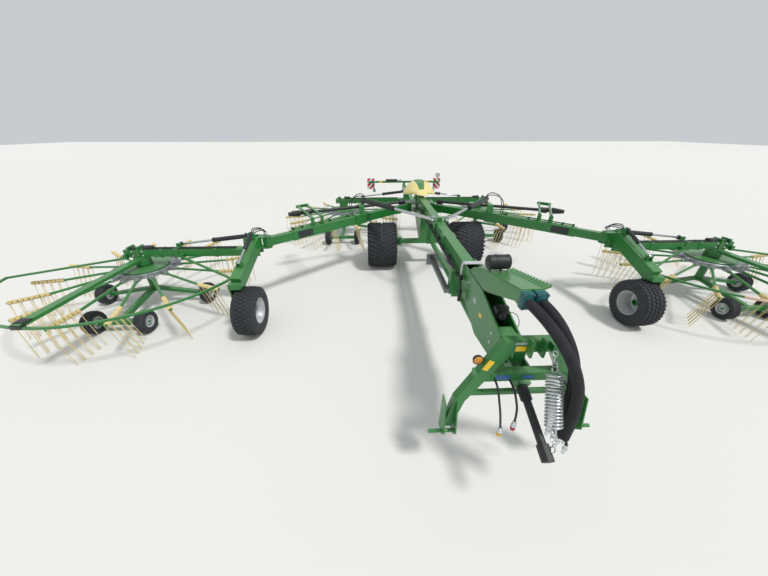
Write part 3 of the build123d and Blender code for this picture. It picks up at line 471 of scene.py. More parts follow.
for end, centre in rotor_centres.items():
    for pair, half_track, ahead in (("front", 0.435, 1.0), ("side", 1.0, 0)):
        body = f"{end}_rotor_{pair}_wheels"
        for part, finish, slot in small_wheel:
            places = [centre + Vector((g * half_track, -ahead, 0)) for g in (-1, 1)]
            both = [copied(part, Matrix.Translation(at)) for at in places]
            stands_for = body if slot == "tyre" else None
            both_sides(joined(both, "pair"), f"{end}_{pair}_{slot}s", finish, body, stands_for)
bpy.data.objects.remove(small_tyre)
bpy.data.objects.remove(small_rim)

# Rotors: fifteen green steel arms in bearing blocks of bare cast alloy, round a bolted gear cover.
# Each arm carries four double tines of beige coated spring wire, wound in two coils and bent at their tips.
cast_alloy = clouded(
    "cast_aluminium_alloy", "848b8c", "b3b9b9", {"Scale": 55.0, "Detail": 7.0},
    {"Metallic": 0.7, "Roughness": 0.46},
)
beige_wire = clouded(
    "beige_coated_spring_wire", "c9ae6c", "e6d6a2", {"Scale": 16.0, "Detail": 6.0}, {"Roughness": 0.42},
)


def bar_along(name, start, end, radius, sides=14, edge=0.002):
    """A round bar between two points, its end rims rounded."""
    start, end = Vector(start), Vector(end)
    bpy.ops.mesh.primitive_cylinder_add(
        vertices=sides, radius=radius, depth=(end - start).length, location=(0, 0, 0),
    )
    bar = bpy.context.object
    bar.name = name
    modified(bar, "BEVEL", width=edge, segments=2, angle_limit=math.radians(60))
    bpy.ops.object.modifier_apply(modifier="bevel")
    bpy.ops.object.shade_smooth_by_angle(angle=math.radians(40))
    turn_to = (end - start).to_track_quat("Z", "Y").to_matrix().to_4x4()
    bar.data.transform(Matrix.Translation((start + end) / 2) @ turn_to)
    return bar


def cross_bar(name, at, half, radius, sides, edge):
    """A round bar that stands out by half its length on each side of a point: an eye or a pin."""
    return bar_along(name, Vector(at) - Vector(half), Vector(at) + Vector(half), radius, sides, edge)


def wire(name, points, radius, ring=0):
    """A bent wire or bar as a mesh, along a row of points."""
    data = bpy.data.curves.new(name, "CURVE")
    data.dimensions = "3D"
    data.bevel_depth = radius
    data.bevel_resolution = ring
    data.use_fill_caps = True
    line = data.splines.new("POLY")
    line.points.add(len(points) - 1)
    for point, at in zip(line.points, points):
        point.co = (*at, 1)
    bent = bpy.data.objects.new(name, data)
    scene.collection.objects.link(bent)
    bpy.ops.object.select_all(action="DESELECT")
    bent.select_set(True)
    bpy.context.view_layer.objects.active = bent
    bpy.ops.object.convert(target="MESH")
    bpy.ops.object.shade_smooth_by_angle(angle=math.radians(50))
    return bpy.context.object


def rounded_box(name, centre, size, edge, segments=2):
    """A block with rounded edges, as a casting or a folded box has."""
    bpy.ops.mesh.primitive_cube_add(size=1, location=(0, 0, 0))
    block = bpy.context.object
    block.name = name
    block.data.transform(Matrix.Translation(centre) @ Matrix.Diagonal((*size, 1)))
    round_edges(edge, segments)
    bpy.ops.object.shade_smooth_by_angle(angle=math.radians(35))
    return block


arms, tip_r, arm_r, comb_z = 15, 1.85, 0.0225, 0.665
coil_shape = [
    (-0.027, arm_r), (-0.024, 0.029), (-0.016, 0.037), (-0.008, 0.031), (0, 0.038), (0.008, 0.031),
    (0.016, 0.037), (0.024, 0.029), (0.027, arm_r),
]
doubles, first_x, pitch_x, coil_dx, finger_dx, finger_r = 4, 1.4125, 0.125, 0.03, 0.02, 0.0052
finger_drop = [(0.03, 0.0), (0.02, 0.05), (-0.05, 0.34), (-0.126, comb_z - 0.016)]
comb = []
for double in range(doubles):
    for g in (-1, 1):
        coil_x = first_x + pitch_x * double + coil_dx * g
        comb.append(turned("coil", coil_shape, (coil_x, 0, comb_z), 8))
        finger = [(coil_x + finger_dx * g, y, comb_z - down) for y, down in finger_drop]
        comb.append(wire("finger", finger, finger_r))
comb_of_tines = joined(comb, "tine_comb")
arm_bar = wire(
    "arm_bar", [(0.44, 0, 0.75), (1.33, 0, 0.668), (1.38, 0, comb_z), (tip_r, 0, comb_z)], arm_r, 2,
)
collar = bar_along("arm_collar", (0.545, 0, 0.741), (0.585, 0, 0.737), 0.034, 14)
block = rounded_box("bearing_block", (0.47, 0, 0.755), (0.16, 0.09, 0.082), 0.012)
bolt_places = [(x, y) for x in (0.42, 0.52) for y in (-0.026, 0.026)]
bolts = [bar_along("block_bolt", (x, y, 0.79), (x, y, 0.804), 0.009, 6, 0.001) for x, y in bolt_places]
block_bolts = joined(bolts, "block_bolts")
combs, bars, castings, fixings = [], [], [], []
for number in range(arms):
    spoke = Matrix.Rotation(2 * math.pi * (number + 0.5) / arms, 4, "Z")
    combs.append(copied(comb_of_tines, spoke))
    bars.append(copied(arm_bar, spoke))
    castings += [copied(block, spoke), copied(collar, spoke)]
    fixings.append(copied(block_bolts, spoke))
    rim_bolt = bar_along("cover_bolt", (0.372, 0, 0.822), (0.372, 0, 0.832), 0.008, 6, 0.001)
    rim_bolt.data.transform(spoke)
    fixings.append(rim_bolt)
for piece in (comb_of_tines, arm_bar, collar, block, block_bolts):
    bpy.data.objects.remove(piece)
ring_shape = [(0.715, 0.12), (0.715, 0.43), (0.722, 0.455), (0.79, 0.455), (0.8, 0.44), (0.806, 0.12)]
castings.append(turned("ring_casting", ring_shape, (0, 0, 0), 60, (0, 0, 1)))
cover_shape = [
    (0.805, 0.4), (0.818, 0.4), (0.824, 0.392), (0.824, 0.35), (0.827, 0.33), (0.83, 0.2), (0.83, 0.075),
    (0.812, 0.072), (0.806, 0.08),
]
cover = turned("gear_cover", cover_shape, (0, 0, 0), 60, (0, 0, 1))
rotor_kit = (
    (joined(combs, "rotor_tines"), beige_wire, "tine_beige"),
    (joined(bars + [cover], "rotor_arms"), green_enamel, "green_paint"),
    (joined(castings, "rotor_castings"), cast_alloy, "cast_grey"),
    (joined(fixings, "rotor_bolts"), zinc, "zinc_steel"),
)
for end, centre in rotor_centres.items():
    for part, finish, slot in rotor_kit:
        piece, body = copied(part, Matrix.Translation(centre)), f"{end}_rotor"
        stands_for = body if slot == "green_paint" else None
        both_sides(piece, f"{end}_{part.name}", finish, body, stands_for)
for part, finish, slot in rotor_kit:
    bpy.data.objects.remove(part)

# Hood over the tower's gearbox: a moulded shell in pale yellow gel coat, drawn out to a lobe on each side.
# A plain green panel is let in between two raised ribs, and the shell's front runs down to a nose.
gel_coat = clouded(
    "pale_yellow_gel_coat", "e2d27f", "efe2a0", {"Scale": 3.5, "Detail": 6.0},
    {"Roughness": 0.3, "Coat Weight": 0.3},
)
hood_low, hood_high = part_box("hood")
hood_front, hood_l = hood_low[1], hood_high[1] - hood_low[1]
half_widths = ((0, 0.21), (0.12, 0.34), (0.3, 0.425), (0.52, 0.445), (0.75, 0.4), (1, 0.3))
crests = ((0, 0.06), (0.12, 0.14), (0.38, 0.266), (0.6, 0.294), (0.8, 0.288), (0.92, 0.21), (1, 0.02))


def between(table, at):
    """The smooth value between two columns of a short table."""
    for (a, low), (b, high) in zip(table, table[1:]):
        if at <= b:
            share = (at - a) / (b - a)
            share = share * share * (3 - 2 * share) * 0.5 + share * 0.5
            return low + (high - low) * share
    return table[-1][1]


across, along, panel_half = 32, 24, 0.25
rib_at, rib_w, rib_h = 0.34, 0.085, 0.034
lobe_from, lobe_sag, front_sag = 0.6, 0.11, 0.042
nose_back, nose_ahead = 0.11, 0.2
bpy.ops.mesh.primitive_grid_add(x_subdivisions=across, y_subdivisions=along, size=2, location=(0, 0, 0))
shell = bpy.context.object
shell.name = "hood_shell"
for vertex in shell.data.vertices:
    u, v = vertex.co.x, (vertex.co.y + 1) / 2
    panel_share = 0.11 + 0.34 * v
    u = math.copysign(abs(u) ** (math.log(panel_share) / math.log(panel_half)), u)
    rise = between(crests, v) * max(0, 1 - abs(u) ** 1.9) ** 0.8
    rib = rib_h * math.exp(-(((abs(u) - rib_at) / rib_w) ** 2)) * v * v * (1 - 0.4 * v)
    lobe = -lobe_sag * max(0, abs(u) - lobe_from) * math.sin(math.pi * v)
    lobe -= front_sag * (1 - u * u) * (1 - v) ** 2
    nose = nose_back * u * u * (1 - v) ** 2 - nose_ahead * (1 - u * u) * (1 - v) ** 3
    height = hood_low[2] + 0.004 + rise + rib + lobe
    vertex.co = (u * between(half_widths, v), hood_front + hood_l * v + nose, height)
shell.data.materials.append(gel_coat)
shell.data.materials.append(green_enamel)
for face in shell.data.polygons:
    column, row = face.index % across, face.index // across
    in_panel = abs(column - (across - 1) / 2) < panel_half * across / 2 and row > 0.14 * along
    face.material_index = 1 if in_panel else 0
modified(shell, "SOLIDIFY", thickness=0.007, offset=-1)
modified(shell, "SUBSURF", levels=1, render_levels=1)
bpy.context.view_layer.objects.active = shell
bpy.ops.object.modifier_apply(modifier="solidify")
bpy.ops.object.modifier_apply(modifier="subsurf")
bpy.ops.object.shade_smooth()
dressed(shell, gel_coat, "frame", ["hood"])

# Warning boards: aluminium sheet faced on both sides with red and white reflective film in slanting stripes.
# Each has a round lamp in a black ring on a stay at its inner foot, and the right one a round mirror above.
striped_film, tree, shader = new_material("red_and_white_reflective_film")
place = add_node(tree, "ShaderNodeTexCoord")
axes = add_node(tree, "ShaderNodeSeparateXYZ", {"Vector": place.outputs["Object"]})
slanted = worked_out(tree, "ADD", worked_out(tree, "ABSOLUTE", axes.outputs["X"]), axes.outputs["Z"])
share_of_pair = worked_out(tree, "FRACT", worked_out(tree, "MULTIPLY", slanted, 5.0))
stripe = worked_out(tree, "GREATER_THAN", share_of_pair, 0.5)
tree.links.new(mixed(tree, stripe, linear("e9e9e6"), linear("c3202b")), shader.inputs["Base Color"])
cells = add_node(tree, "ShaderNodeTexVoronoi", {"Vector": place.outputs["Object"], "Scale": 400.0})
in_relief(striped_film, cells.outputs["Distance"], 0.08, 0.001)
shader.inputs["Roughness"].default_value = 0.32
red_lens = clouded("red_lens", "a81220", "d6313a", {"Scale": 60.0}, {"Roughness": 0.15}, "Wave")
board_x, board_y, board_z = 1.32, 5.46, 1.18
board = rounded_box("striped_board_right", (board_x, board_y, board_z), (0.29, 0.014, 0.41), 0.003)
lamp_at, rearward = (1.19, 5.465, 0.915), (0, 1, 0)
ring_shape = [
    (-0.055, 0.0), (-0.055, 0.05), (-0.045, 0.059), (0.01, 0.059), (0.02, 0.052), (0.02, 0.038),
    (0.006, 0.036), (0.006, 0),
]
housing = turned("lamp_ring", ring_shape, lamp_at, 36, rearward)
lens_shape = [(0.007, 0), (0.007, 0.035), (0.014, 0.034), (0.02, 0.02), (0.022, 0)]
lens = turned("lamp_lens", lens_shape, lamp_at, 36, rearward)
lens_shape = [(-0.056, 0), (-0.056, 0.03), (-0.062, 0.026), (-0.066, 0)]
front_lens = turned("front_lamp_lens", lens_shape, lamp_at, 30, rearward)
board_kit = (
    (board, striped_film, "striped_board", ["light_boards"]), (housing, guard_black, "black_guard", ()),
    (lens, red_lens, "lamp_red", ()), (front_lens, silver_rim, "silver_rim", ()),
)
for part, finish, slot, stands_for in board_kit:
    twin = mirrored(part, part.name.replace("_right", "") + "_left")
    dressed(part, finish, "frame", stands_for)
    dressed(twin, finish, "frame")
stay = wire("lamp_stay_right", [(1.19, 5.43, 0.97), (1.2, 5.43, 1.05), (1.2, 5.43, 1.2)], 0.011, 2)
dressed(mirrored(stay, "lamp_stay_left"), guard_black, "frame")
dressed(stay, guard_black, "frame")
mirror_shape = [(-0.012, 0), (-0.012, 0.085), (-0.004, 0.094), (0.012, 0.09), (0.026, 0.05), (0.03, 0)]
mirror_head = turned("round_mirror", mirror_shape, (1.34, 5.44, 1.5), 40, rearward)
dressed(mirror_head, silver_rim, "frame")
mirror_stay = wire("mirror_stay", [(1.34, 5.455, 1.49), (1.34, 5.455, 1.42), (1.32, 5.455, 1.36)], 0.01, 2)
dressed(mirror_stay, guard_black, "frame")

# Swing cylinders: a drawn tube barrel with a screwed gland and two hose ports, pinned over the wing's
# bracket. The barrel has dark satin paint. The rod is ground steel under hard chrome, bright with the
# faintest grinding lines, and runs to the plates on the main beam's collar. Both eyes turn on flanged pins.
dark_barrel = clouded("dark_barrel_paint", "1d2023", "33373a", {"Scale": 40.0, "Detail": 6.0}, {})
tree = dark_barrel.node_tree
grit = tree.nodes["cloud"].outputs["Fac"]
worn = add_node(tree, "ShaderNodeMapRange", {"Value": grit, "To Min": 0.3, "To Max": 0.5})
tree.links.new(worn.outputs["Result"], tree.nodes["Principled BSDF"].inputs["Roughness"])
chrome, tree, shader = new_material("hard_chrome")
place = add_node(tree, "ShaderNodeTexCoord")
lines = add_node(
    tree, "ShaderNodeTexNoise", {"Vector": place.outputs["Object"], "Scale": 120.0, "Detail": 3.0},
)
shine = add_node(
    tree, "ShaderNodeMapRange", {"Value": lines.outputs["Fac"], "To Min": 0.08, "To Max": 0.22},
)
shader.inputs["Base Color"].default_value = linear("d9dcde")
shader.inputs["Metallic"].default_value = 1.0
tree.links.new(shine.outputs["Result"], shader.inputs["Roughness"])
swing_base, swing_tip = Vector((1.52, 0.42, 1.612)), Vector((0.125, -1.31, 1.612))
inward = (swing_tip - swing_base).normalized()
barrel_l, barrel_r = 1.11, 0.054
shape = [
    (0.03, 0.03), (0.034, 0.048), (0.045, barrel_r), (barrel_l - 0.07, barrel_r),
    (barrel_l - 0.066, barrel_r + 0.006), (barrel_l - 0.012, barrel_r + 0.006), (barrel_l, barrel_r),
    (barrel_l, 0.031), (0.045, 0.031), (0.045, 0.01), (0.03, 0.01),
]
parts = [turned("barrel", shape, swing_base, 36, inward)]
parts.append(cross_bar("base_eye", swing_base, (0, 0, 0.034), 0.045, 28, 0.004))
parts.append(rounded_box("eye_block", swing_base + inward * 0.028, (0.032, 0.032, 0.06), 0.008))
for along_barrel in (0.1, barrel_l - 0.1):
    port_at = swing_base + inward * along_barrel + Vector((0, 0, 0.057))
    parts.append(cross_bar("port", port_at, (0, 0, 0.017), 0.02, 12, 0.003))
swing_barrel = joined(parts, "swing_barrel_tube")
rod_start, rod_end = swing_base + inward * (barrel_l - 0.03), swing_tip - inward * 0.02
rod_parts = [bar_along("rod", rod_start, rod_end, 0.0285, 32, 0.002)]
rod_parts.append(cross_bar("rod_eye", swing_tip, (0, 0, 0.026), 0.042, 28, 0.004))
swing_rod = joined(rod_parts, "swing_rod_bar")
both_sides(swing_barrel, "swing_barrel_tube", dark_barrel, "swing_barrel", "swing_barrel")
both_sides(swing_rod, "swing_rod_bar", chrome, "swing_rod", "swing_rod")

# Lift cylinders: the same make, shorter and thinner, beside each lift arm, with the barrel dark and the rod
# chromed. Barrel and rod ride on one body here, as they move together.
for end, pivot in (("front", Vector((3.6, -1.28, 1.33))), ("rear", Vector((0.21, 3.01, 1.33)))):
    far = pivot + Vector((1.35, 0, -0.15))
    way = (far - pivot).normalized()
    barrel_l = 0.55 * (far - pivot).length
    shape = [
        (0.02, 0.022), (0.03, 0.042), (barrel_l - 0.05, 0.042), (barrel_l - 0.046, 0.046),
        (barrel_l - 0.008, 0.046), (barrel_l, 0.04), (barrel_l, 0.01), (0.02, 0.01),
    ]
    parts = [turned("barrel", shape, pivot, 30, way)]
    for eye in (pivot, far):
        parts.append(cross_bar("eye", eye, (0, 0.024, 0), 0.04, 24, 0.004))
    port_at = pivot + way * 0.09 + Vector((0, 0, 0.046))
    parts.append(cross_bar("port", port_at, (0, 0, 0.016), 0.016, 10, 0.002))
    barrel, body = joined(parts, "barrel"), f"{end}_cylinder"
    rod_start, rod_end = pivot + way * (barrel_l - 0.02), far - way * 0.02
    rod = bar_along("rod", rod_start, rod_end, 0.021, 28, 0.002)
    both_sides(barrel, f"{end}_lift_barrel", dark_barrel, body, body)
    both_sides(rod, f"{end}_lift_rod", chrome, body)

# Chain spring: sixteen turns of zinc plated wire with a hook at each end. A short welded chain holds it to a
# plate on the hitch frame, and another to the drive shaft's guard below.
bright_zinc = clouded(
    "bright_zinc_plate", "c4c9cc", "e8ebec", {"Scale": 38.0, "Detail": 5.0},
    {"Metallic": 0.85, "Roughness": 0.27},
)
hook, collar_low = Vector((0.13, -5.009, 1.61)), Vector((0.06, -5.425, 0.98))
down = (collar_low - hook).normalized()
sideways = down.cross(Vector((0, 1, 0))).normalized()
backward = down.cross(sideways).normalized()
spring_l, turns_of_wire, wire_r, coil_r = 0.47, 16, 0.0078, 0.058
slack = ((collar_low - hook).length - spring_l) / 2
hook_l, hook_eye_r, per_turn = 0.035, 0.022, 16
coil_l, steps = spring_l - 2 * hook_l, turns_of_wire * per_turn
points = []
for number in range(steps + 1):
    angle = 2 * math.pi * number / per_turn
    centre = hook + down * (slack + hook_l + coil_l * number / steps)
    points.append(centre + (sideways * math.cos(angle) + backward * math.sin(angle)) * coil_r)
ends = []
for start_at, sign in ((points[0], -1), (points[-1], 1)):
    middle = hook + down * (slack + (hook_l if sign < 0 else spring_l - hook_l))
    loop = [start_at, middle + sideways * 0.02 + down * sign * 0.012]
    for step_round in range(9):
        angle = math.pi * (0.1 + 1.75 * step_round / 8)
        round_eye = middle + down * sign * (0.034 - hook_eye_r * math.cos(angle))
        loop.append(round_eye + sideways * hook_eye_r * math.sin(angle))
    ends.append(wire("spring_hook", loop, wire_r, 2))
coil = wire("coil", points, wire_r, 2)


def chain(name, start, end, link_l, bar_r):
    """Welded links between two points, each turned a quarter from the last."""
    start, end = Vector(start), Vector(end)
    count = max(2, round((end - start).length / (link_l - 2.6 * bar_r)))
    turn_to = (end - start).to_track_quat("X", "Z").to_matrix().to_4x4()
    links = []
    for number in range(count):
        bpy.ops.mesh.primitive_torus_add(
            major_radius=link_l * 0.3, minor_radius=bar_r, major_segments=14, minor_segments=7,
            location=(0, 0, 0),
        )
        link = bpy.context.object
        for vertex in link.data.vertices:
            vertex.co.x += math.copysign(link_l * 0.2 - bar_r, vertex.co.x)
        at = start.lerp(end, (number + 0.5) / count)
        quarter = Matrix.Rotation(math.pi / 2 * (number % 2) + 0.4, 4, "X")
        link.data.transform(Matrix.Translation(at) @ turn_to @ quarter)
        links.append(link)
    made = joined(links, name)
    bpy.ops.object.shade_smooth_by_angle(angle=math.radians(50))
    return made


chain_l, link_l, link_bar_r = slack - 0.02, 0.052, 0.0055
upper = chain("upper", hook, hook + down * chain_l, link_l, link_bar_r)
lower = chain("lower", collar_low - down * chain_l, collar_low, link_l, link_bar_r)
spring = joined([coil, *ends, upper, lower], "spring_and_chain")
dressed(spring, bright_zinc, "hitch_frame", ["chain_spring"])

# Drawbar head: a bent strip of pale grey coated steel, its edge rolled, clasps the drawbar's end.
# A black handle with a thicker grip hangs from it on the left.
pale_grey = clouded(
    "pale_grey_powder_coat", "a9adaf", "cfd2d3", {"Scale": 24.0, "Detail": 6.0}, {"Roughness": 0.4},
)
hose_rubber = clouded(
    "black_rubber_hose", "141517", "303236", {"Scale": 18.0, "Detail": 6.0}, {"Roughness": 0.5},
)


def strip(name, points, across, thick):
    """A strip of sheet bent along a row of points, as wide as the vector across."""
    half = Vector(across) / 2
    bpy.ops.mesh.primitive_grid_add(
        x_subdivisions=len(points) - 1, y_subdivisions=1, size=1, location=(0, 0, 0),
    )
    bent = bpy.context.object
    bent.name = name
    edges = [Vector(p) - half for p in points] + [Vector(p) + half for p in points]
    for vertex, at in zip(bent.data.vertices, edges):
        vertex.co = at
    modified(bent, "SOLIDIFY", thickness=thick, offset=0)
    modified(bent, "BEVEL", width=thick * 0.3, segments=2)
    bpy.ops.object.modifier_apply(modifier="solidify")
    bpy.ops.object.modifier_apply(modifier="bevel")
    bpy.ops.object.shade_smooth_by_angle(angle=math.radians(40))
    return bent


strap_y = -3.33
bend = [
    (-0.13, 1.4), (-0.128, 1.585), (-0.112, 1.612), (-0.09, 1.62), (0.09, 1.62), (0.112, 1.612),
    (0.125, 1.59), (0.125, 1.5),
]
strap = strip("beam_strap", [(x, strap_y, z) for x, z in bend], (0, 0.055, 0), 0.008)
rolled = cross_bar("strap_roll", (0, strap_y - 0.032, 1.612), (0.112, 0, 0), 0.012, 14, 0.003)
dressed(joined([strap, rolled], "beam_strap"), pale_grey, "frame")
bend = [(-0.13, strap_y, 1.44), (-0.15, -3.4, 1.4), (-0.155, -3.46, 1.34), (-0.155, -3.47, 1.26)]
handle = joined([
    wire("handle_bar", bend, 0.012, 3),
    bar_along("handle_grip", (-0.155, -3.47, 1.3), (-0.155, -3.475, 1.13), 0.024, 18, 0.008),
    rounded_box("handle_clip", (-0.137, -3.36, 1.42), (0.05, 0.07, 0.06), 0.01),
], "beam_handle")
dressed(handle, guard_black, "frame")

# Canister and its legs: a black moulded drum with domed ends lies across the hose arm's rear end on tabs.
drum_y, drum_z = -3.99, 1.914
shape = [
    (-0.12, 0), (-0.12, 0.04), (-0.114, 0.061), (-0.1, 0.074), (-0.04, 0.076), (-0.036, 0.08),
    (-0.022, 0.08), (-0.018, 0.076), (0.09, 0.076), (0.094, 0.08), (0.108, 0.077), (0.118, 0.056),
    (0.12, 0.036), (0.12, 0),
]
drum = turned("canister", shape, (0.02, drum_y, drum_z), 36)
dressed(drum, guard_black, "frame")
for number, x in enumerate((-0.055, 0.06)):
    bend = [(x, drum_y, 1.78), (x, drum_y, 1.838), (x + 0.012, drum_y, 1.85)]
    leg = strip(f"canister_leg_{number + 1}", bend, (0, 0.05, 0), 0.007)
    dressed(leg, green_enamel, "frame")

# Hose arm: a plate is welded on top, and fourteen flame cut teeth stand out along its right edge to part the
# hoses. At the front end, two teal moulded clamps are bolted side by side round the hose sleeves.
rear_y, rear_z, nose_y, nose_z = -3.98, 1.818, -4.68, 1.982
slope = Vector((0, nose_y - rear_y, nose_z - rear_z))
plate_x, plate_w, tooth_x, tooth_size, sunk = 0.01, 0.2, 0.15, (0.11, 0.014, 0.034), 0.004
plate_ends = [(plate_x, rear_y, rear_z - sunk), (plate_x, nose_y, nose_z - sunk)]
teeth = [strip("arm_top_plate", plate_ends, (plate_w, 0, 0), 0.008)]
tooth_turn = Matrix.Rotation(-0.2, 4, "Y") @ Matrix.Rotation(0.3, 4, "Z")
for number in range(14):
    at = Vector((tooth_x, rear_y, rear_z - sunk)) + slope * ((number + 0.6) / 14.2)
    tooth = rounded_box("tooth", (0, 0, 0), tooth_size, 0.003, 1)
    tooth.data.transform(Matrix.Translation(at) @ tooth_turn)
    teeth.append(tooth)
dressed(joined(teeth, "hose_rack"), green_enamel, "frame")
teal_clamp = clouded(
    "teal_moulded_polyamide", "0d4a4d", "1c6a6c", {"Scale": 30.0, "Detail": 5.0}, {"Roughness": 0.45},
)
clamp_z = 1.92
collar_shape = [(-0.045, 0.036), (-0.045, 0.044), (0.02, 0.046), (0.02, 0.036)]
for side, g in sides:
    x = 0.055 * g
    block = rounded_box(f"hose_clamp_{side}", (x, -4.758, clamp_z), (0.098, 0.07, 0.148), 0.012)
    collar = turned("collar", collar_shape, (x, -4.765, clamp_z), 28, rearward)
    dressed(joined([block, collar], f"hose_clamp_{side}"), teal_clamp, "frame")
screws, screw_shape = [], [(-0.008, 0), (-0.008, 0.006), (0, 0.008), (0.004, 0.008), (0.004, 0)]
for x in (-0.094, -0.016, 0.016, 0.094):
    for z in (clamp_z - 0.062, clamp_z + 0.062):
        screws.append(turned("screw", screw_shape, (x, -4.796, z), 10, rearward))
dressed(joined(screws, "clamp_screws"), zinc, "frame")

# Hose sleeves: two bundles of hoses in black woven nylon sleeves, which leave the clamps, droop over the
# hitch frame and hang beside the spring with their couplings at the ends.
folded = {"Scale": 13.0, "Detail": 5.0, "Distortion": 0.6}
woven_sleeve = clouded("black_woven_nylon_sleeve", "121316", "2c2d33", folded, {"Roughness": 0.82})
tree = woven_sleeve.node_tree
place, folds = tree.nodes["place"], tree.nodes["cloud"]
weave = add_node(tree, "ShaderNodeTexVoronoi", {"Vector": place.outputs["Object"], "Scale": 260.0})
both = worked_out(tree, "ADD", weave.outputs["Distance"], folds.outputs["Fac"])
in_relief(woven_sleeve, both, 0.5, 0.006)


def smooth_line(route, smoothness):
    """Points along the smooth line that a hose takes through its route."""
    data = bpy.data.curves.new("route", "CURVE")
    data.dimensions = "3D"
    data.resolution_u = smoothness
    line = data.splines.new("NURBS")
    line.points.add(len(route) - 1)
    for point, at in zip(line.points, route):
        point.co = (*at, 1)
    line.order_u = 3
    line.use_endpoint_u = True
    held = bpy.data.objects.new("route", data)
    scene.collection.objects.link(held)
    bpy.context.view_layer.update()
    mesh = bpy.data.meshes.new_from_object(held)
    points = [vertex.co.copy() for vertex in mesh.vertices]
    bpy.data.objects.remove(held)
    bpy.data.meshes.remove(mesh)
    return points


def bending(piece, finish):
    """Gives a hose its finish and bakes its placement into its mesh."""
    piece.data.materials.append(finish)
    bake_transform(piece)
    return piece


sleeve_routes = {
    "right": [
        (0.055, -4.79, 1.92), (0.058, -4.91, 1.925), (0.1, -5.05, 1.85), (0.17, -5.145, 1.68),
        (0.222, -5.18, 1.47), (0.24, -5.19, 1.25), (0.24, -5.195, 1.05), (0.232, -5.205, 0.92),
    ],
    "left": [
        (-0.055, -4.79, 1.92), (-0.055, -4.94, 1.935), (0.0, -5.11, 1.87), (0.11, -5.215, 1.7),
        (0.195, -5.272, 1.49), (0.228, -5.287, 1.26), (0.232, -5.29, 1.08), (0.226, -5.295, 0.96),
    ],
}
tail_places = ((-0.016, 0.014), (0.018, 0.01), (0.002, -0.018))
sleeve_r, tail_r, upward = 0.04, 0.0105, (0, 0, 1)
plug_shape = [
    (0.03, 0), (0.03, 0.014), (0, 0.015), (-0.004, 0.019), (-0.03, 0.019), (-0.034, 0.013), (-0.07, 0.013),
    (-0.072, 0),
]
for side, route in sleeve_routes.items():
    line = smooth_line(route, 8)
    sleeve = wire(f"hose_sleeve_{side}", line, sleeve_r, 5)
    bundle_end = Vector(route[-1])
    tips, plugs = [], []
    for n, (dx, dy) in enumerate(tail_places):
        start_at = bundle_end + Vector((dx, dy, 0.03))
        low = 0.06 + 0.01 * n
        mid = start_at + Vector((dx * 1.6, dy * 1.6, -low * 0.55))
        hang = [start_at, start_at - Vector((0, 0, 0.04)), mid, mid - Vector((0, 0, low * 0.6))]
        tips.append(wire("tail", smooth_line(hang, 6), tail_r, 3))
        at = bundle_end + Vector((dx * 2.6, dy * 2.6, 0.03 - low * 1.15))
        plugs.append(turned("plug", plug_shape, at, 18, upward))
    tails = joined(tips, f"hose_tails_{side}")
    couplings = joined(plugs, f"hose_couplings_{side}")
    for piece, finish, slot in (
        (sleeve, woven_sleeve, "hose_black"), (tails, hose_rubber, "hose_black"),
        (couplings, bright_zinc, "zinc_steel"),
    ):
        bending(piece, finish)

# Blank plates: thin films, yellow, blue and grey, stuck on the drawbar's head and the hitch frame.
# They carry nothing, and are smooth and a little faded.


def film(name, low, high):
    """A printed or moulded film's material, a little faded."""
    return clouded(name, low, high, {"Scale": 45.0, "Detail": 4.0}, {"Roughness": 0.35})


yellow_film = film("yellow_vinyl_film", "e9b91a", "f6d23a")
blue_film = film("blue_vinyl_film", "27508c", "3c6ba8")
grey_film = film("grey_vinyl_film", "8d9a94", "a9b5ae")

front_face, head_side, film_w = -4.9412, -0.1012, 0.003
plates = (
    ("top_bar", (-0.085, front_face, 1.578), (0.12, film_w, 0.048), 0, yellow_film, "plate_yellow"),
    ("top_edge", (-0.1, front_face, 1.631), (0.11, film_w, 0.024), 0, grey_film, "zinc_steel"),
    ("left_leg", (-0.335, front_face, 1.405), (0.052, film_w, 0.11), 27, yellow_film, "plate_yellow"),
    ("crossbar_left", (-0.185, front_face, 1.265), (0.12, film_w, 0.05), 0, blue_film, "clamp_teal"),
    ("crossbar_right", (0.03, front_face, 1.265), (0.1, film_w, 0.034), 0, blue_film, "clamp_teal"),
    ("head_grey", (head_side, -3.86, 1.37), (film_w, 0.11, 0.07), -12, grey_film, "zinc_steel"),
    ("head_yellow", (head_side, -4.08, 1.31), (film_w, 0.08, 0.05), -12, yellow_film, "plate_yellow"),
)
for name, centre, size, degrees, finish, slot in plates:
    on_head = name.startswith("head")
    flat = rounded_box(f"plate_{name}", (0, 0, 0), size, 0.0008, 1)
    tilt = Matrix.Rotation(math.radians(degrees), 4, "X" if on_head else "Y")
    flat.data.transform(Matrix.Translation(centre) @ tilt)
    dressed(flat, finish, "frame" if on_head else "hitch_frame")

# Reflector: a round amber lens in a black cup, on a bent tab behind the hitch frame's left leg.
amber = film("amber_lens", "b8742a", "dfa04a")
amber.node_tree.nodes["Principled BSDF"].inputs["Roughness"].default_value = 0.15
lens_at = Vector((-0.405, -4.885, 1.42))
cup_shape = [(0.02, 0), (0.02, 0.04), (-0.004, 0.048), (-0.008, 0.044), (0.0, 0.04), (0.0, 0)]
cup = turned("reflector_cup", cup_shape, lens_at, 32, rearward)
bend = [lens_at + Vector(step) for step in ((0, 0.022, 0), (0.06, 0.022, -0.02), (0.12, 0.022, -0.04))]
tab = strip("reflector_tab", bend, (0, 0, 0.03), 0.004)
dressed(joined([cup, tab], "reflector_cup"), guard_black, "hitch_frame")
lens_shape = [(0.0, 0), (0.0, 0.04), (-0.008, 0.04), (-0.014, 0.03), (-0.016, 0)]
lens = turned("reflector_lens", lens_shape, lens_at, 32, rearward)
dressed(lens, amber, "hitch_frame")

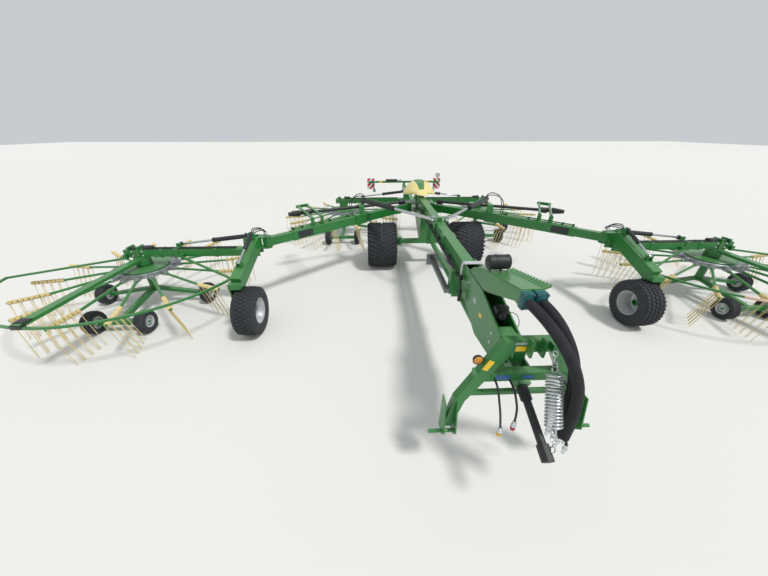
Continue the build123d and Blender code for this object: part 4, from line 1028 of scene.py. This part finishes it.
# Valve: a dark block on the drawbar's head with a ribbed knob, and a thin cable that loops out and back.
valve_at = Vector((0.0, -4.3, 1.5))
valve = joined([
    rounded_box("valve_block", valve_at, (0.13, 0.1, 0.12), 0.01),
    rounded_box("valve_foot", valve_at + Vector((0, 0.02, -0.1)), (0.1, 0.06, 0.1), 0.008),
    rounded_box("valve_side", valve_at + Vector((0.02, -0.03, 0.07)), (0.07, 0.05, 0.04), 0.006),
], "valve_block")
dressed(valve, dark_barrel, "frame")
shape = [
    (-0.05, 0), (-0.05, 0.012), (-0.075, 0.014), (-0.08, 0.03), (-0.087, 0.033), (-0.094, 0.03),
    (-0.1, 0.033), (-0.107, 0.03), (-0.113, 0.032), (-0.12, 0.022), (-0.122, 0),
]
knob = turned("valve_knob", shape, valve_at + Vector((-0.02, 0, 0.01)), 24, rearward)
dressed(knob, guard_black, "frame")
loop_route = [
    (0.072, -4.31, 1.485), (0.074, -4.345, 1.53), (0.098, -4.42, 1.56), (0.125, -4.465, 1.5),
    (0.125, -4.46, 1.42), (0.12, -4.42, 1.375), (0.112, -4.38, 1.385), (0.1, -4.345, 1.41),
]
line, cable_r = smooth_line(loop_route, 8), 0.0035
loop = dressed(wire("valve_cable", line, cable_r, 3), hose_rubber, "frame")

# Hitch hoses: thin hydraulic hoses that come from under the crossbar and hang before it. Each ends in a
# plated coupling and a soft dust cap, red or yellow by the circuit it belongs to.
red_cap = film("red_dust_cap", "a51c26", "c8323a")
yellow_cap = film("yellow_dust_cap", "d9a81c", "efc638")
hose_r = 0.0095
coupling_shape = [
    (0.03, 0), (0.03, 0.012), (0.012, 0.013), (0.01, 0.018), (-0.012, 0.018), (-0.014, 0.021),
    (-0.034, 0.021), (-0.036, 0.015), (-0.05, 0.015), (-0.05, 0),
]
cap_shape = [(-0.045, 0), (-0.045, 0.019), (-0.05, 0.022), (-0.076, 0.02), (-0.082, 0.012), (-0.084, 0)]
hitch_routes = {
    "a": [
        (-0.12, -4.945, 1.235), (-0.12, -5.02, 1.235), (-0.11, -5.09, 1.16), (-0.09, -5.12, 1.04),
        (-0.095, -5.13, 0.92),
    ],
    "b": [
        (0.33, -4.945, 1.25), (0.33, -5.02, 1.25), (0.335, -5.08, 1.17), (0.33, -5.1, 1.06),
        (0.325, -5.1, 0.96),
    ],
    "c": [
        (-0.25, -4.945, 1.24), (-0.25, -5.01, 1.24), (-0.24, -5.07, 1.13), (-0.2, -5.09, 0.95),
        (-0.18, -5.1, 0.8),
    ],
    "d": [
        (0.4, -4.945, 1.24), (0.4, -5.01, 1.24), (0.405, -5.06, 1.13), (0.4, -5.08, 1.0),
        (0.39, -5.08, 0.86),
    ],
}
for name, route in hitch_routes.items():
    line = smooth_line(route, 8)
    hose = dressed(wire(f"hitch_hose_{name}", line, hose_r, 3), hose_rubber, "hitch_frame")
    coupling = turned(f"coupling_{name}", coupling_shape, route[-1], 20, upward)
    dressed(coupling, bright_zinc, "hitch_frame")
    cap = turned(f"dust_cap_{name}", cap_shape, route[-1], 20, upward)
    cap_finish, cap_slot = (red_cap, "lamp_red") if name in "ad" else (yellow_cap, "plate_yellow")
    dressed(cap, cap_finish, "hitch_frame")

# Pins of the hitch: a zinc plated washer, nut and pin end above and below the fork, and smaller ones on the
# bolts through the plates of the drawbar's head.


def pin_head(name, at, axis, washer_r, body):
    """A washer, a hexagon nut and a bolt's end on one axis."""
    at, axis = Vector(at), Vector(axis)
    washer = turned("washer", [(0, 0), (0, washer_r), (0.005, washer_r), (0.005, 0)], at, 24, axis)
    low, nut_r = 0.004, washer_r * 0.68
    top = low + washer_r * 0.6
    nut_shape = [(low, 0), (low, nut_r), (low + washer_r * 0.55, nut_r), (top, washer_r * 0.6), (top, 0)]
    nut = turned("nut", nut_shape, at, 6, axis)
    top, stud_r = washer_r * 0.92, washer_r * 0.36
    stud_shape = [(0, 0), (0, stud_r), (washer_r * 0.85, stud_r), (top, washer_r * 0.28), (top, 0)]
    stud = turned("stud", stud_shape, at, 16, axis)
    return dressed(joined([washer, nut, stud], name), bright_zinc, body)


pin_head("hitch_pin_top", (0, -4.74, 1.431), upward, 0.05, "frame")
pin_head("hitch_pin_foot", (0, -4.74, 1.099), (0, 0, -1), 0.05, "frame")
head_bolts = (
    ("a", -3.25, 1.4), ("b", -3.25, 1.5), ("c", -3.6, 1.47), ("d", -4.42, 1.33), ("e", -4.42, 1.22),
)
for name, y, z in head_bolts:
    for side, g in sides:
        pin_head(f"head_bolt_{name}_{side}", (0.1 * g, y, z), (g, 0, 0), 0.017, "frame")

# Drawbar hoses: three hydraulic hoses clipped low along each side of the main beam, with the clips' bolts.
# The beam's two collars have their clamping bolts here too, and the rear one the rod's pins.
clip_bolt_shape = [(0.0, 0), (0.0, 0.008), (0.008, 0.007), (0.008, 0)]
for side, g in sides:
    lines_of_hose = []
    for z, sag in ((1.345, 0.004), (1.368, -0.003), (1.402, 0.005)):
        route = [(0.112 * g, -3.2 + 0.62 * n, z + (sag if n % 2 else -sag)) for n in range(7)]
        route.append((0.16 * g, 0.62, z + 0.01))
        lines_of_hose.append(wire("beam_hose", smooth_line(route, 6), 0.0085, 2))
    dressed(joined(lines_of_hose, f"beam_hoses_{side}"), hose_rubber, "frame")
    clips = []
    for y in (-2.6, -1.75, -1.0, 0.1):
        clips.append(rounded_box("clip", (0.101 * g, y, 1.374), (0.044, 0.034, 0.094), 0.006))
        clips.append(turned("clip_bolt", clip_bolt_shape, (0.122 * g, y, 1.374), 6, (g, 0, 0)))
    dressed(joined(clips, f"beam_clips_{side}"), guard_black, "frame")
    for name, y in (("front", -2.05), ("rear", -1.31)):
        for n, (dy, z) in enumerate(((-0.055, 1.35), (0.055, 1.35), (-0.055, 1.54), (0.055, 1.54))):
            pin_head(f"collar_bolt_{name}_{n}_{side}", (0.1 * g, y + dy, z), (g, 0, 0), 0.014, "frame")
    pin_head(f"rod_pin_{side}", (0.125 * g, -1.31, 1.654), upward, 0.034, "frame")

# Light bar: an electric box left of the middle, a band of yellow film on each arm and each lamp's cable.
light_box = rounded_box("light_box", (-0.5, 5.41, 1.315), (0.46, 0.075, 0.075), 0.014)
dressed(light_box, guard_black, "frame")
box_end = rounded_box("light_box_end", (-0.17, 5.415, 1.31), (0.13, 0.07, 0.065), 0.01)
dressed(box_end, pale_grey, "frame")
for side, g in sides:
    band = rounded_box(f"light_bar_band_{side}", (0.93 * g, 5.42, 1.25), (0.13, 0.063, 0.063), 0.004)
    dressed(band, yellow_film, "frame")
    along_bar = enumerate((0.0, 0.3, 0.6, 0.9, 1.16))
    route = [(x * g, 5.41, 1.286 + (0.004 if n % 2 else -0.001)) for n, x in along_bar]
    route += [(1.2 * g, 5.43, 1.24), (1.2 * g, 5.44, 1.0)]
    lead = wire(f"lamp_lead_{side}", smooth_line(route, 6), 0.005, 2)
    dressed(lead, hose_rubber, "frame")

# Wings: green steel pipes clipped along the rear of each outer beam, a dark sheet on its front, a pipe
# along the swing cylinder's barrel, and two slack hoses that loop from the elbow to the barrel's port.
# A ribbed bellows of black plastic covers the joint where the wing's drive shaft leaves its bearing.
elbow = Vector((1.57, 0.10, 0))
outward = Vector((1690, -1540, 0)).normalized()
to_front = Vector((outward.y, -outward.x, 0))
beam_turn = Matrix.Rotation(math.atan2(outward.y, outward.x), 4, "Z")


def on_wing(out, ahead, z):
    """A point beside the right wing's outer beam, by how far out it is, how far ahead and how high."""
    return elbow + outward * out + to_front * ahead + Vector((0, 0, z))


ribs = [(0.09, 0.035), (0.09, 0.07)]
for number in range(6):
    start, rib_r, groove_r = 0.1 + 0.034 * number, 0.074 - 0.004 * number, 0.065 - 0.004 * number
    ribs += [(start, rib_r), (start + 0.014, rib_r), (start + 0.02, groove_r)]
ribs += [(0.33, 0.046), (0.345, 0.044), (0.345, 0.035)]
shaft_way = Vector((2410, -1050, 0)).normalized()
bellows = turned("shaft_bellows", ribs, (2.84, -0.01, 1.43), 28, shaft_way)
both_sides(bellows, "shaft_bellows", guard_black, "wing")
pipe_z, pipe_r, clip_z = 1.372, 0.0085, 1.368
pipes = []
for ahead in (-0.048, -0.075, -0.102):
    pipes.append(wire("pipe", [on_wing(out, ahead, pipe_z) for out in (0.2, 0.7, 1.72)], pipe_r, 2))
both_sides(joined(pipes, "wing_pipes"), "wing_pipes", green_enamel, "wing")
clips = []
for out in (0.32, 0.82, 1.5, 1.7):
    clip = rounded_box("clip", (0, 0, 0), (0.035, 0.1, 0.034), 0.006)
    clip.data.transform(Matrix.Translation(on_wing(out, -0.075, clip_z)) @ beam_turn)
    clips.append(clip)
both_sides(joined(clips, "wing_clips"), "wing_clips", guard_black, "wing")
sheet = rounded_box("sheet", (0, 0, 0), (0.34, 0.004, 0.135), 0.0012, 1)
sheet.data.transform(Matrix.Translation(on_wing(1.5, 0.0765, 1.262)) @ beam_turn)
both_sides(sheet, "wing_sheet", dark_barrel, "wing")
over_barrel = Vector((0, 0, 0.072))
pipe_line = [swing_base + inward * along_barrel + over_barrel for along_barrel in (0.14, 0.4, 1.0)]
barrel_pipe = wire("pipe", pipe_line, 0.0075, 2)
both_sides(barrel_pipe, "barrel_pipe", green_enamel, "swing_barrel")
for number, (shift, top) in enumerate(((0.0, 1.8), (0.05, 1.75))):
    route = [
        (1.74 + shift, 0.03, 1.345), (1.76 + shift, 0.035, 1.52), (1.72 + shift, 0.11, top - 0.06),
        (1.6 + shift * 0.5, 0.22, top), (1.49, 0.3, top - 0.02),
        (1.458 - shift * 0.3, 0.343 - shift * 0.3, 1.682),
    ]
    for side, g in sides:
        own = [(x * g, y, z) for x, y, z in route]
        line = smooth_line(own, 8)
        loop = wire(f"elbow_hose_{number + 1}_{side}", line, hose_r, 3)
        bending(loop, hose_rubber)
wing_pins = (("barrel_pin", 1.52, 0.42, 1.673, "wing"), ("turn_pin", 3.26, -1.44, 1.409, "wing_head"))
for name, x, y, z, body in wing_pins:
    for side, g in sides:
        pin_head(f"{name}_{side}", (x * g, y, z), upward, 0.04, f"{body}_{side}")

# Leg cylinder: a short dark cylinder with a chromed rod over each support wheel's leg, between welded lugs.
# The hoses that feed it and the lift cylinder lie in a loop over the wing's head.
lug_top, lug_foot = Vector((3.43, -1.66, 1.49)), Vector((3.465, -2.27, 1.205))
leg_way = (lug_foot - lug_top).normalized()
lugs = []
for at in (lug_top, lug_foot):
    for dx in (-0.038, 0.038):
        lugs.append(rounded_box("lug", at + Vector((dx, 0, -0.045)), (0.012, 0.07, 0.125), 0.004))
    lugs.append(cross_bar("lug_pin", at, (0.055, 0, 0), 0.013, 14, 0.003))
both_sides(joined(lugs, "leg_lugs"), "leg_lugs", green_enamel, "wing_head")
shape = [
    (-0.02, 0), (-0.022, 0.02), (0.0, 0.03), (0.03, 0.036), (0.34, 0.036), (0.344, 0.041), (0.375, 0.041),
    (0.385, 0.034), (0.385, 0),
]
leg_barrel = turned("barrel", shape, lug_top, 28, leg_way)
both_sides(leg_barrel, "leg_barrel", dark_barrel, "wing_head")
rod_end = bar_along("rod", lug_top + leg_way * 0.37, lug_foot, 0.018, 22, 0.002)
eye = cross_bar("eye", lug_foot, (0.028, 0, 0), 0.028, 20, 0.003)
both_sides(joined([rod_end, eye], "rod"), "leg_rod", chrome, "wing_head")
feeds = []
for number, rise in enumerate((0.0, 0.03, 0.055)):
    route = [
        (3.3, -1.3 - 0.04 * number, 1.4), (3.3, -1.32 - 0.04 * number, 1.445 + rise),
        (3.36 + rise, -1.42, 1.47 + rise), (3.42 + rise, -1.52, 1.47 + rise),
        (3.43 + rise * 0.4, -1.6, 1.43),
    ]
    feeds.append(wire("feed", smooth_line(route, 8), hose_r, 3))
both_sides(joined(feeds, "head_hoses"), "head_hoses", hose_rubber, "wing_head")

# Lift arms: welded collars round the box arm, a dark valve block and its pipes on top, and four pins through
# the arm's outer end, where the rotor's post is held.
collar_size, pipe_z = (0.06, 0.162, 0.162), 1.163
pin_shape = [(0, 0), (0, 0.02), (0.012, 0.018), (0.016, 0.01), (0.016, 0)]
for end, inner_x, arm_y in (("front", 3.6, -1.44), ("rear", 0.21, 2.85)):
    body = f"{end}_arm"
    places = [(inner_x + dx, arm_y, 1.08) for dx in (0.62, 1.62)]
    collars = [rounded_box("collar", at, collar_size, 0.008) for at in places]
    both_sides(joined(collars, "collars"), f"{end}_arm_collars", green_enamel, body)
    block = [
        rounded_box("valve", (inner_x + 1.86, arm_y - 0.01, 1.178), (0.17, 0.1, 0.06), 0.008),
        rounded_box("cover", (inner_x + 2.12, arm_y - 0.02, 1.172), (0.1, 0.08, 0.045), 0.01),
    ]
    both_sides(joined(block, "valve"), f"{end}_arm_valve", dark_barrel, body)
    pipes = []
    for dy in (-0.045, -0.02, 0.03):
        run = [(inner_x + dx, arm_y + dy, pipe_z) for dx in (0.25, 1.0, 1.8)]
        pipes.append(wire("pipe", run, 0.008, 2))
    both_sides(joined(pipes, "pipes"), f"{end}_arm_pipes", hose_rubber, body)
    pins = []
    for dx, z in ((1.96, 1.04), (2.14, 1.04), (1.96, 1.12), (2.14, 1.12)):
        for g in (-1, 1):
            pins.append(turned("pin", pin_shape, (inner_x + dx, arm_y + 0.071 * g, z), 6, (0, g, 0)))
    both_sides(joined(pins, "pins"), f"{end}_arm_pins", bright_zinc, body)

# Guard hoops: bent steel tube in front of each front rotor, held in a dark clamp on its support beam. The
# right one has a sleeve of faded red tape on its inner half.
hoop_centre, hoop_r, hoop_z = rotor_centres["front"], 2.05, 0.85


def on_hoop(degrees):
    """A point on the right guard hoop, at an angle round its rotor."""
    a = math.radians(degrees)
    return hoop_centre + Vector((hoop_r * math.cos(a), hoop_r * math.sin(a), hoop_z))


hoop = wire("hoop", [on_hoop(200 + 145 * n / 72) for n in range(73)], 0.0167, 4)
both_sides(hoop, "guard_hoop", green_enamel, "front_arm")
clamp_x, clamp_y = 5.9, -3.47
clamps = [
    rounded_box("clamp", (clamp_x, clamp_y, 0.862), (0.15, 0.066, 0.062), 0.008),
    rounded_box("clamp_foot", (5.888, -3.4, 0.905), (0.15, 0.12, 0.02), 0.005),
]
clamp_bolt_shape = [(0, 0), (0, 0.011), (0.01, 0.01), (0.01, 0)]
for dx in (-0.045, 0.045):
    clamps.append(turned("clamp_bolt", clamp_bolt_shape, (clamp_x + dx, clamp_y, 0.893), 6, upward))
both_sides(joined(clamps, "clamp"), "hoop_clamp", dark_barrel, "front_arm")
red_tape = film("faded_red_tape", "c9a18d", "dfbda9")
tape = wire("hoop_tape", [on_hoop(degrees) for degrees in (233, 235, 237, 239, 241)], 0.022, 4)
dressed(tape, red_tape, "front_arm_right")
